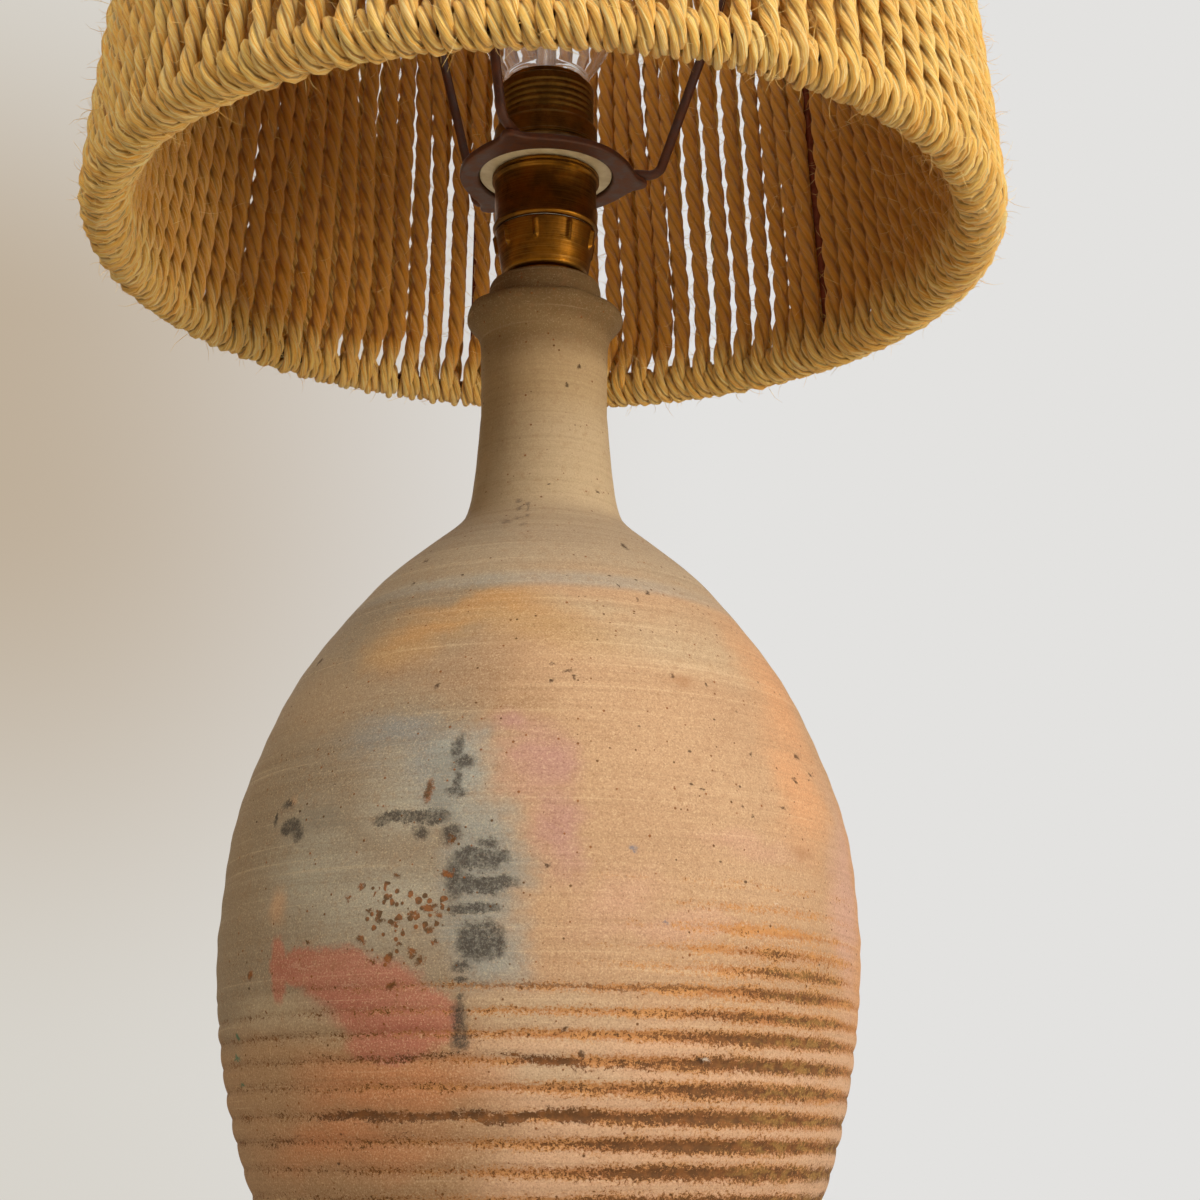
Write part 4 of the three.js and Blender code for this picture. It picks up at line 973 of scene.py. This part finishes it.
def wire_mesh(points, radius, closed=False):
    """A round wire along points."""
    curve = bpy.data.curves.new("wire", "CURVE")
    curve.dimensions = "3D"
    curve.bevel_depth = radius
    curve.bevel_resolution = 4
    curve.use_fill_caps = not closed
    spline = curve.splines.new("POLY")
    spline.points.add(len(points) - 1)
    for target, point in zip(spline.points, points):
        target.co = (*point, 1)
    spline.use_cyclic_u = closed
    mesh = settled_mesh(scene_object("wire", curve))
    mesh.shade_smooth()
    return mesh


def arm_points(azimuth):
    climb = math.atan2(top_level - arm_level, top_ring_radius - arm_bend)
    lead_in = arm_bend_radius * math.tan(climb / 2)
    line = [(arm_foot, arm_level), (arm_bend - lead_in - 0.001, arm_level)]
    for share in np.linspace(0, 1, 11):
        turn = climb * share
        line.append((arm_bend - lead_in + arm_bend_radius * math.sin(turn),
                     arm_level + arm_bend_radius * (1 - math.cos(turn))))
    end = ring_wire * 0.8
    foot = np.array(line[-1])
    tip = np.array([top_ring_radius - end * math.cos(climb), top_level - end * math.sin(climb)])
    for share in (0.01, 0.25, 0.5, 0.75, 1):
        line.append(tuple(foot + (tip - foot) * share))
    return [polar_point(radius, height, azimuth) for radius, height in line]


for number in range(1, arm_count + 1):
    azimuth = arm_azimuth + 2 * math.pi * (number - 1) / arm_count
    fit_piece(f"shade_arm_{number}_bent", wire_mesh(arm_points(azimuth), arm_wire), dark_steel,
              "shade", "dark_steel", f"shade_arm_{number}")
for label, radius, level in (
    ("top", top_ring_radius, top_level), ("bottom", bottom_ring_radius, bottom_level),
):
    circle = [polar_point(radius, level, math.radians(2 * k)) for k in range(180)]
    fit_piece(f"{label}_ring_bent", wire_mesh(circle, ring_wire, closed=True), dark_steel,
              "shade", "dark_steel", f"{label}_ring")
for number in range(1, strut_count + 1):
    azimuth = strut_azimuth + 2 * math.pi * (number - 1) / strut_count
    ends = [wall_point(rise, 0, azimuth) for rise in np.linspace(ring_wire, wall_length - ring_wire, 9)]
    fit_piece(f"shade_strut_{number}_cut", wire_mesh(ends, strut_wire), rusty_steel,
              "shade", "dark_steel", f"shade_strut_{number}")

# Rope: three-strand sisal, wound in loops over the upper ring, down outside, under the lower ring
# and up inside. Between two loops it takes one more short turn round the lower ring.
rope_radius = 0.0029
rope_lay = 0.027
rope_step = 0.0024
rope_section_points = 18
strand_share = 0.51
run_offset = 0.0054
wrap_offset = 0.0043
wrap_thickness = 0.82
loops_per_third = 34
windings_per_third = 4
loops_per_winding = loops_per_third / windings_per_third
winding_count = arm_count * windings_per_third
loop_turn = 2 * math.pi / arm_count / loops_per_third
inner_top_radius = top_ring_radius - run_offset
arm_clearance = 0.00035
arm_opening = 2 * (arm_wire + arm_clearance + rope_radius) / inner_top_radius
least_turn = 1.88 * rope_radius / inner_top_radius
wrap_shares = [(0, 0.75), (92, 0.75), (110, 0.62), (140, 0.62), (165, 0.75), (360, 0.75)]
parting_fall = 0.09
parting_reach = 0.05
settling_rise = 0.024
lean_rise = 0.045
lean_reach = 0.060
loosening = 0.03
# Azimuth in degrees, and how far an inside run leans along higher up, in shares of a loop
lean_shares = [(0, 0), (52, 0), (64, 0.34), (76, 0.34), (86, 0), (90, 0), (102, 0.36), (126, 0.36),
               (142, 0), (360, 0)]
# Azimuth in degrees, and how far on from the outside run the inside run stands, in shares of a loop
inside_shares = [
    (0, 0.5), (25, 0.3), (34.7, 0.15), (38.3, 0.12), (41.7, 0.5), (48.8, 0.18), (52.4, 0.16),
    (55.9, 0.26), (66.5, 0.46), (70, 0.3), (77.1, 0.0), (80.6, -0.14), (84.1, -0.1), (94.7, 0.12),
    (101.8, 0.2), (108.8, 0.34), (112.4, 0.25), (115.9, 0.1), (119.4, 0.03), (126.5, 0.2),
    (137.1, 0.42), (142, 0.36), (151, 0.5), (360, 0.5),
]


def unevenness(loop, seed):
    """A small fixed value for each loop, between -1 and 1."""
    return math.sin(loop * 12.9898 + seed * 78.233) * 0.6 + math.sin(loop * 4.1414 + seed * 9.7) * 0.4


def parted_by(place_from_arm):
    """How far an inside run moves away from the nearest arm, by its place from that arm."""
    return max(0, (arm_opening - loop_turn) / 2 - place_from_arm * (loop_turn - least_turn))


def loop_degrees(loop):
    return math.degrees(arm_azimuth + loop_turn * loop) % 360


def inside_azimuth(loop):
    share = np.interp(loop_degrees(loop), *zip(*inside_shares)) + 0.06 * unevenness(loop, 8)
    return arm_azimuth + loop_turn * (loop + share)


def pushed_along(loop, rise):
    """How far an inside run has moved along at a height: it leans, and the arms beside it part it."""
    place = loop % loops_per_third
    parting = parted_by(place) - parted_by(loops_per_third - 1 - place)
    leaning = loop_turn * np.interp(loop_degrees(loop), *zip(*lean_shares))
    near_top = np.clip((rise - wall_length + parting_fall) / parting_reach, 0, 1)
    return parting * near_top + leaning * np.clip((rise - lean_rise) / lean_reach, 0, 1)


def outside_azimuth(loop):
    return arm_azimuth + loop_turn * (loop + 0.07 * unevenness(loop, 1))


def rope_route(first, count):
    """The rope's middle line through some loops: places on the wall, and its thickness there."""
    run_top = wall_length - 0.006
    run_foot = 0.004
    join = wall_length - 0.0055
    route = [(join, run_offset, outside_azimuth(first), 1.0)]
    for loop in range(first, first + count):
        out = outside_azimuth(loop)
        inside = inside_azimuth(loop)
        following = outside_azimuth(loop + 1)
        girth = 1 + 0.05 * unevenness(loop, 6)
        for share in np.linspace(0, 1, 13)[1:-1]:
            bow = loop_turn * math.sin(math.pi * share) * (
                0.08 * unevenness(loop, 2) + 0.07 * math.sin(9 * share + 7 * unevenness(loop, 10)))
            route.append((run_top + (run_foot - run_top) * share, run_offset, out + bow,
                          girth * (1 + loosening * share)))
        wraps_turn = loop_turn * np.interp(loop_degrees(loop), *zip(*wrap_shares))
        wraps_end = out + wraps_turn * (1 + 0.05 * unevenness(loop, 3))
        for passed in [k / 27 for k in range(28)]:
            angle = 3 * math.pi * passed
            tight = math.sin(math.pi * passed)
            offset = run_offset + (wrap_offset - run_offset) * tight
            rise_more = 0.0007 * unevenness(loop, 4) * math.sin(angle / 2)
            route.append((-offset * math.sin(angle) + rise_more, offset * math.cos(angle),
                          out + (wraps_end - out) * passed,
                          1 + (wrap_thickness - 1) * min(1, 1.6 * tight + 0.5)))
        for share in np.linspace(0, 1, 21)[1:-1]:
            rise = run_foot + (run_top - run_foot) * share
            unsettled = max(0, 1 - rise / settling_rise) ** 2
            bow = loop_turn * math.sin(math.pi * share) * (
                0.10 * unevenness(loop, 5) + 0.10 * math.sin(12 * share + 7 * unevenness(loop, 9)))
            route.append((rise, -run_offset,
                          inside + (wraps_end - inside) * unsettled + bow + pushed_along(loop, rise),
                          girth * (1 + loosening * (1 - share))))
        inside_top = inside + pushed_along(loop, wall_length)
        for k in range(10):
            angle = math.pi * k / 9
            route.append((wall_length + run_offset * math.sin(angle), -run_offset * math.cos(angle),
                          inside_top + (following - inside_top) * k / 9, 0.94))
    route.append((join, run_offset, outside_azimuth(first + count), 1.0))
    return route


def new_tree(name, inputs):
    """An empty geometry tree with named inputs besides its geometry."""
    tree = bpy.data.node_groups.new(name, "GeometryNodeTree")
    tree.interface.new_socket("Geometry", in_out="INPUT", socket_type="NodeSocketGeometry")
    tree.interface.new_socket("Geometry", in_out="OUTPUT", socket_type="NodeSocketGeometry")
    for label, kind in inputs:
        tree.interface.new_socket(label, in_out="INPUT", socket_type=f"NodeSocket{kind}")
    return tree, add_node(tree, "NodeGroupInput").outputs


def made_by_tree(mesh, tree, values):
    """Runs a tree on a mesh and returns the plain mesh that it makes."""
    blank = scene_object("blank", mesh)
    modifier = blank.modifiers.new("make", "NODES")
    modifier.node_group = tree
    for socket in tree.interface.items_tree:
        if socket.in_out == "INPUT" and socket.name in values:
            modifier[socket.identifier] = values[socket.name]
    return settled_mesh(blank)


def finish_tree(tree, geometry, finish):
    """Ends a tree: its geometry in a finish, handed out."""
    finished = add_node(tree, "GeometryNodeSetMaterial", Geometry=geometry, Material=finish)
    add_node(tree, "NodeGroupOutput", finished.outputs[0])
    return tree


def rope_tree():
    """Lays three strands round a line: a three-lobed section that turns once for each lay."""
    tree, given = new_tree("laid_rope", [
        ("Radius", "Float"), ("Lay", "Float"), ("Step", "Float"), ("Start", "Float"),
        ("Strand share", "Float"), ("Section points", "Int"), ("Finish", "Material"),
    ])
    line = add_node(tree, "GeometryNodeMeshToCurve", given["Geometry"])
    even = add_node(tree, "GeometryNodeResampleCurve", mode="LENGTH", Curve=line.outputs[0],
                    Length=given["Step"])
    along = add_node(tree, "GeometryNodeSplineParameter").outputs["Length"]
    travelled = plus(along, given["Start"])
    tilt = add_node(tree, "GeometryNodeSetCurveTilt", Curve=even.outputs[0],
                    Tilt=times(calc("DIVIDE", travelled, given["Lay"]), -2 * math.pi))
    marked = add_node(tree, "GeometryNodeStoreNamedAttribute", data_type="FLOAT", domain="POINT",
                      Geometry=tilt.outputs[0], Name="travelled", Value=travelled)
    circle = add_node(tree, "GeometryNodeCurvePrimitiveCircle", Radius=1,
                      Resolution=given["Section points"])
    place = add_node(tree, "GeometryNodeInputPosition").outputs[0]
    spot = axes_of(place)
    from_crown = calc("PINGPONG", calc("ARCTAN2", spot[1], spot[0]), math.pi / 3)
    apart = minus(1.0, given["Strand share"])
    inner = calc("POWER", times(apart, calc("SINE", from_crown)), 2.0)
    root = calc("SQRT", minus(calc("POWER", given["Strand share"], 2.0), inner))
    reach = plus(times(apart, calc("COSINE", from_crown)), root)
    moved = add_node(tree, "ShaderNodeVectorMath", place, operation="SCALE",
                     Scale=times(reach, given["Radius"]))
    section = add_node(tree, "GeometryNodeSetPosition", Geometry=circle.outputs[0],
                       Position=moved.outputs[0])
    placed = add_node(tree, "GeometryNodeStoreNamedAttribute", data_type="FLOAT_VECTOR",
                      domain="POINT", Geometry=section.outputs[0], Name="section", Value=place)
    thickness = add_node(tree, "GeometryNodeInputNamedAttribute", data_type="FLOAT",
                         Name="thickness")
    swept = add_node(tree, "GeometryNodeCurveToMesh", Curve=marked.outputs[0],
                     Profile_Curve=placed.outputs[0], Scale=thickness.outputs[0], Fill_Caps=True)
    smooth = add_node(tree, "GeometryNodeSetShadeSmooth", swept.outputs[0])
    return finish_tree(tree, smooth.outputs[0], given["Finish"])


def fuzz_tree():
    """Lets short stray fibres stand out of the rope."""
    tree, given = new_tree("rope_fuzz", [
        ("Density", "Float"), ("Seed", "Int"), ("Fibre", "Object"), ("Least size", "Float"),
        ("Most size", "Float"), ("Finish", "Material"),
    ])

    def chance(low, high, seed):
        node = add_node(tree, "FunctionNodeRandomValue", data_type="FLOAT", Seed=seed)
        feed(node.inputs[2], low)
        feed(node.inputs[3], high)
        return node.outputs[1]

    scatter = add_node(tree, "GeometryNodeDistributePointsOnFaces", Mesh=given["Geometry"],
                       Density=given["Density"], Seed=given["Seed"])
    fibre = add_node(tree, "GeometryNodeObjectInfo", Object=given["Fibre"])
    spin = add_node(tree, "ShaderNodeCombineXYZ", 0.0, 0.0, chance(0, 2 * math.pi, 3))
    lean = add_node(tree, "ShaderNodeCombineXYZ", chance(0.6, 1.45, 5), 0.0, 0.0)
    turned = scatter.outputs["Rotation"]
    for turn in (spin, lean):
        rotation = add_node(tree, "FunctionNodeEulerToRotation", turn.outputs[0])
        turned = add_node(tree, "FunctionNodeRotateRotation", turned, rotation.outputs[0],
                          rotation_space="LOCAL").outputs[0]
    planted = add_node(
        tree, "GeometryNodeInstanceOnPoints", Points=scatter.outputs["Points"],
        Instance=fibre.outputs["Geometry"], Rotation=turned,
        Scale=chance(given["Least size"], given["Most size"], 7),
    )
    real = add_node(tree, "GeometryNodeRealizeInstances", planted.outputs[0])
    return finish_tree(tree, real.outputs[0], given["Finish"])


def sisal_finish():
    """Sisal fibres that follow the strands: golden, with painted shade between them and inside the shade.
    """
    finish, tree, shader = new_finish(
        "sisal_rope", Roughness=0.78, Specular_IOR_Level=0.3, Sheen_Weight=0.25, Sheen_Roughness=0.4,
    )
    section = stored(tree, "section")["Vector"]
    across = axes_of(section)
    along = times(stored(tree, "travelled")["Fac"], 0.045)
    laid = add_node(tree, "ShaderNodeCombineXYZ", across[0], across[1], along).outputs[0]
    fibres = cloud(laid, 1500, 4, 0.8, 0.4)
    threads = cloud(laid, 800, 3, 0.6, 0.6)
    drift = cloud(object_place(tree), 45, 3, 0.55)
    colour = colour_mix(ramp(threads, 0.30, 0.70), paint(252, 188, 78), paint(255, 221, 124))
    colour = colour_mix(ramp(fibres, 0.50, 0.62, 0.0, 0.9), colour, paint(255, 238, 172))
    colour = colour_mix(ramp(fibres, 0.47, 0.36, 0.0, 0.60), colour, paint(184, 112, 32))
    colour = colour_mix(ramp(drift, 0.35, 0.7, 0.0, 0.20), colour, paint(230, 164, 78))
    spot = axes_of(object_place(tree))
    slope = math.tan(wall_lean)
    wall_radius = minus(bottom_ring_radius + bottom_level * slope, times(spot[2], slope))
    radius = calc("SQRT", plus(calc("POWER", spot[0], 2.0), calc("POWER", spot[1], 2.0)))
    inside = ramp(minus(radius, wall_radius), 0.001, -0.005)
    # Painted shade: the rope on the inside of the shade is tinted darker orange, as its shadowed inside
    # looks
    painted_inner_shade = times(inside, ramp(spot[2], bottom_level + 0.001, bottom_level + 0.012))
    # Painted light: this share weakens the inner painted shade on the far left inner wall, where light
    # falls in
    depth = ramp(spot[0], -0.090, -0.125, 0.8, 0.5)
    colour = colour_mix(times(painted_inner_shade, depth), colour, paint(212, 140, 34))
    # Painted shade: darker down in the creases between the strands, a little less inside the shade
    painted_crease_shade = ramp(vector_calc("LENGTH", section)["Value"], rope_radius * 0.78, rope_radius * 0.54)
    painted_crease_shade = times(painted_crease_shade, calc("MULTIPLY_ADD", painted_inner_shade, -0.25, 0.58))
    colour = colour_mix(painted_crease_shade, colour, paint(130, 76, 20))
    feed(shader.inputs["Base Color"], colour)
    emboss(shader, plus(fibres, times(threads, 0.8)), 0.0009, 1.0)
    return finish


def fibre_mesh(thickness):
    """One stray fibre: a fine curved hair, three-sided, thinning to its tip."""
    line = [(0, 0, -0.0004), (0.0002, 0.0003, 0.0022), (0.0009, 0.0009, 0.0042), (0.0022, 0.0013, 0.0056)]
    widths = [thickness * share for share in (0.5, 0.46, 0.33, 0.12)]
    vertices = []
    for (x, y, z), width in zip(line, widths):
        for k in range(3):
            angle = 2 * math.pi * k / 3
            vertices.append((x + width * math.cos(angle), y + width * math.sin(angle), z))
    faces = [(2, 1, 0), (9, 10, 11)]
    for ring in range(3):
        for k in range(3):
            after = (k + 1) % 3
            low = ring * 3
            faces.append((low + k, low + after, low + 3 + after, low + 3 + k))
    return mesh_of(vertices, faces)


sisal = sisal_finish()
stray_sisal = clouded_finish(
    "sisal_fibre", (300, 2, 0.5), [(232, 182, 90), (254, 230, 162)], span=(0.35, 0.65),
    Roughness=0.6, Specular_IOR_Level=0.35,
)
laid_rope = rope_tree()
rope_fuzz = fuzz_tree()
short_fibre = scene_object("short_fibre", fibre_mesh(thickness=0.00016))
long_fibre = scene_object("long_fibre", fibre_mesh(thickness=0.00011))
rope_start = 0
for winding in range(winding_count):
    third, part = divmod(winding, windings_per_third)
    first = third * loops_per_third + math.floor(loops_per_winding * part + 0.5)
    last = third * loops_per_third + math.floor(loops_per_winding * (part + 1) + 0.5)
    number = f"{winding + 1:02d}"
    route = rope_route(first, last - first)
    places = [wall_point(*place) for *place, _ in route]
    path = bpy.data.meshes.new("rope_path")
    path.from_pydata(places, [(k, k + 1) for k in range(len(places) - 1)], [])
    store(path, "thickness", [width for *_, width in route])
    rope_mesh = made_by_tree(path, laid_rope, {
        "Radius": rope_radius, "Lay": rope_lay, "Step": rope_step, "Start": float(rope_start),
        "Strand share": strand_share, "Section points": rope_section_points, "Finish": sisal,
    })
    rope_start += sum(math.dist(a, b) for a, b in zip(places, places[1:]))
    bare_rope = rope_mesh.copy()
    fit_piece(f"rope_winding_{number}_laid", rope_mesh, sisal, "shade", "sisal_rope",
              f"rope_winding_{number}")
    for label, density, seed, fibre, least_size, most_size in (
        ("fuzz", 32000.0, winding, short_fibre, 0.25, 1.0),
        ("hair", 3000.0, winding + winding_count, long_fibre, 1.0, 1.75),
    ):
        stray_mesh = made_by_tree(bare_rope, rope_fuzz, {
            "Density": density, "Seed": seed, "Fibre": fibre, "Least size": least_size,
            "Most size": most_size, "Finish": stray_sisal,
        })
        fit_piece(f"rope_{label}_{number}", stray_mesh, stray_sisal, "shade", "sisal_rope")
bpy.data.objects.remove(short_fibre)
bpy.data.objects.remove(long_fibre)

# Bulb: a clear blown globe on a glass stem, cemented into a brass bayonet cap whose pins hang in the
# lampholder's slots.
glass_low, glass_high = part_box("glass_envelope")
stem_low, stem_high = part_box("glass_stem")
bulb_cap_low, bulb_cap_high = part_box("bulb_cap")
filament_low, filament_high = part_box("filament")
globe_radius = glass_high[0]
globe_level = 0.4255
glass_neck_radius = 0.0124
glass_neck_level = bulb_cap_high[2] + 0.0003
glass_wall = 0.0006
bulb_cap_radius = 0.011
bulb_cap_bore = 0.0104
pin_radius = 0.001
pin_root = 0.0107
pin_reach = 0.0132
filament_wire = 0.0001
coil_turns = 44
coil_steps = coil_turns * 8
coil_radius = 0.00042
coil_ring = 0.011
coil_gap = math.radians(70)
# Between the glass neck and the widest ring: share of that height, share of the widening
flare_shares = [(0, 0), (0.08, 0.13), (0.18, 0.31), (0.42, 0.66), (0.7, 0.92), (1, 1)]


def glass_outline():
    flare = [(glass_neck_radius + (globe_radius - glass_neck_radius) * wide,
              glass_neck_level + (globe_level - glass_neck_level) * rise) for rise, wide in flare_shares]
    dome_height = glass_high[2] - globe_level
    dome = [(globe_radius * math.cos(a), globe_level + dome_height * math.sin(a))
            for a in np.linspace(0, math.pi / 2, 13)[1:]]
    outside = [tuple(p) for p in smooth_through(flare, 6)] + dome
    outside[-1] = (0, glass_high[2])
    stub = 0.010
    shell = [(stub, glass_low[2]), (stub, glass_neck_level - 0.0008)] + outside
    inside = [(max(radius - glass_wall, 0), level - (glass_wall if level > globe_level else 0))
              for radius, level in outside[2:]]
    inside[-1] = (0, glass_high[2] - glass_wall)
    back = inside[::-1] + [(stub - glass_wall, glass_neck_level), (stub - glass_wall, glass_low[2])]
    return shell, back


clear_glass, glass_tree, glass_shader = new_finish(
    "clear_glass", Base_Color=(1, 1, 1, 1), Transmission_Weight=1.0, IOR=1.46,
)
glass_seeds = cloud(object_place(glass_tree), 60, 2, 0.5)
feed(glass_shader.inputs["Roughness"], ramp(glass_seeds, 0.3, 0.8, 0.0, 0.02))
glass_shell, glass_back = glass_outline()
glass_mesh = turned_mesh(glass_shell + glass_back, sides=96)
fit_piece("glass_envelope_blown", glass_mesh, clear_glass, "bulb", "clear_glass", "glass_envelope")
stem_mesh = turned_mesh([
    (0, stem_low[2]), (0.0086, stem_low[2]), (0.0084, stem_low[2] + 0.001),
    (0.0052, stem_low[2] + 0.0044), (0.0036, stem_low[2] + 0.0078), (0.0031, stem_low[2] + 0.014),
    (0.0029, stem_high[2] - 0.005), (0.0034, stem_high[2] - 0.0025), (0.0026, stem_high[2] - 0.0006),
    (0.0012, stem_high[2]), (0, stem_high[2]),
], sides=48, closed=False)
fit_piece("glass_stem_drawn", stem_mesh, clear_glass, "bulb", "clear_glass", "glass_stem")
bulb_cap_flare = bulb_cap_high[2] - 0.0028
bulb_cap_mesh = turned_mesh(eased([
    (bulb_cap_bore, bulb_cap_low[2]), (bulb_cap_radius, bulb_cap_low[2]),
    (bulb_cap_radius, bulb_cap_flare), (glass_neck_radius, bulb_cap_high[2]),
    (glass_neck_radius - 0.0006, bulb_cap_high[2]), (bulb_cap_bore, bulb_cap_flare),
], radius=0.0002), sides=96)
fit_piece("bulb_cap_pressed", bulb_cap_mesh, cap_brass, "bulb", "brass", "bulb_cap")
for label, side in (("back", 1), ("front", -1)):
    pin = rod_mesh(pin_radius, (0, side * pin_root, pin_level), (0, side * pin_reach, pin_level))
    fit_piece(f"bulb_pin_{label}", pin, cap_brass, "bulb", "brass")
tungsten = clouded_finish(
    "drawn_wire", (500, 4, 0.6), [(70, 66, 64), (120, 118, 116)], rough=(0.3, 0.5),
    relief=(0.0001, 0.25), Metallic=1.0,
)
coil_level = (filament_low[2] + filament_high[2]) / 2
coil = []
for k in range(coil_steps + 1):
    share = k / coil_steps
    azimuth = coil_gap / 2 + (2 * math.pi - coil_gap) * share
    wave = 2 * math.pi * share * coil_turns
    coil.append(polar_point(coil_ring + coil_radius * math.cos(wave),
                            coil_level + coil_radius * math.sin(wave), azimuth))
fit_piece("filament_coiled", wire_mesh(coil, filament_wire), tungsten, "bulb", "tungsten", "filament")

# Hidden fittings: bung, washer, nut and nipple in the neck, and the porcelain block with its
# terminals, screws, plungers and springs inside the shell. Their plain solids are shown as they
# are, each in its own finish, and so are the bulb's leads, contacts and insulator.
porcelain = clouded_finish(
    "porcelain", (200, 3, 0.5), [(232, 228, 216), (218, 211, 196)], Coat_Weight=0.4,
)
black_glass = clouded_finish(
    "black_glass", (300, 3, 0.5), [(20, 20, 24), (34, 32, 36)], rough=(0.15, 0.4),
    Specular_IOR_Level=0.6,
)
zinc_steel = clouded_finish(
    "zinc_steel", (500, 4, 0.6), [(130, 130, 126), (178, 178, 172)], rough=(0.35, 0.5),
    relief=(0.0001, 0.25), Metallic=1.0,
)
finish_for_slot = {
    "stoneware": stoneware, "brass": cap_brass,
    "dark_steel": dark_steel, "zinc_steel": zinc_steel, "rubber": rubber, "porcelain": porcelain,
    "cream_plastic": cream_plastic, "sisal_rope": sisal, "clear_glass": clear_glass,
    "black_glass": black_glass, "tungsten": tungsten,
}
for part in frame["record"]["subparts"]:
    solid = frame["nodes"][part["node"]]
    for slot in solid.material_slots:
        slot.material = finish_for_slot[part["material_slot"]]

# Each contact spring stands on its terminal and is pressed shorter by the plunger's travel; here each only
# gets a mesh of its own.
for side in ("left", "right"):
    spring = frame["nodes"][f"spring_{side}"]
    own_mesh(spring)

# Room: a pale floor, a pale surround that only eyes and shiny things see, with painted shade on its left
# and a painted lamp shadow there, a large soft lamp at the right, a narrow one low down at the right for
# light thrown back by a table, and weak ones at the left and behind.
floor_radius = 1.8
floor_level = -0.0002
floor_edge = [polar_point(floor_radius, floor_level, math.radians(k)) for k in range(0, 360, 4)]
floor_mesh = mesh_of(floor_edge, [tuple(range(len(floor_edge)))])
floor_mesh.materials.append(clouded_finish(
    "floor", (6, 3, 0.5), [(212, 207, 199), (218, 213, 205)], Specular_IOR_Level=0.2,
))
scene_object("floor", floor_mesh)

world = bpy.data.worlds.new("room")
bpy.context.scene.world = world
world.use_nodes = True
air = world.node_tree
backdrop = air.nodes["Background"]
direction = axes_of(add_node(air, "ShaderNodeTexCoord").outputs["Generated"])
# Painted shade: the surround is darker and warmer on the left, with a painted shadow of the lamp across
# its middle
painted_lamp_shadow = times(ramp(direction[2], 0.52, 0.36), ramp(direction[2], 0.02, 0.30))
shaded_left_colour = colour_mix(painted_lamp_shadow, paint(215, 211, 203), paint(190, 174, 153))
seen_colour = colour_mix(ramp(direction[0], -0.29, 0.06), shaded_left_colour, paint(227, 226, 224))
seen = add_node(air, "ShaderNodeBackground", seen_colour, 1.0)
backdrop.inputs["Color"].default_value = paint(240, 208, 166)
backdrop.inputs["Strength"].default_value = 0.17
rays = add_node(air, "ShaderNodeLightPath").outputs
visible = calc("MAXIMUM", rays["Is Camera Ray"], rays["Is Glossy Ray"])
visible = calc("MAXIMUM", visible, rays["Is Transmission Ray"])
either = add_node(air, "ShaderNodeMixShader", visible, backdrop.outputs[0], seen.outputs[0])
feed(air.nodes["World Output"].inputs["Surface"], either.outputs[0])

for label, place, aim, size, spread, energy, colour in (
    ("key_lamp", (1.18, -1.14, 0.98), (0, 0, 0.28), 1.0, 180, 20.4, (1.0, 0.985, 0.96)),
    ("low_lamp", (0.95, -0.66, 0.08), (-0.08, 0, 0.37), 0.36, 70, 1.1, (1.0, 0.88, 0.70)),
    ("fill_lamp", (-0.50, -0.95, 1.40), (0, 0, 0.40), 0.7, 180, 11.2, (1.0, 0.90, 0.74)),
    ("back_lamp", (-0.30, 1.70, 1.10), (0, 0, 0.30), 1.2, 180, 15, (1.0, 0.95, 0.88)),
):
    lamp_data = bpy.data.lights.new(label, "AREA")
    lamp_data.size = size
    lamp_data.spread = math.radians(spread)
    lamp_data.energy = energy
    lamp_data.color = colour
    lamp = scene_object(label, lamp_data)
    lamp.visible_transmission = False
    lamp.location = place
    towards = np.array(aim) - np.array(place)
    flat_reach = math.hypot(towards[0], towards[1])
    turn = math.atan2(towards[1], towards[0]) - math.pi / 2
    lamp.rotation_euler = (math.atan2(flat_reach, -towards[2]), 0, turn)
bpy.context.scene.view_settings.view_transform = "Standard"
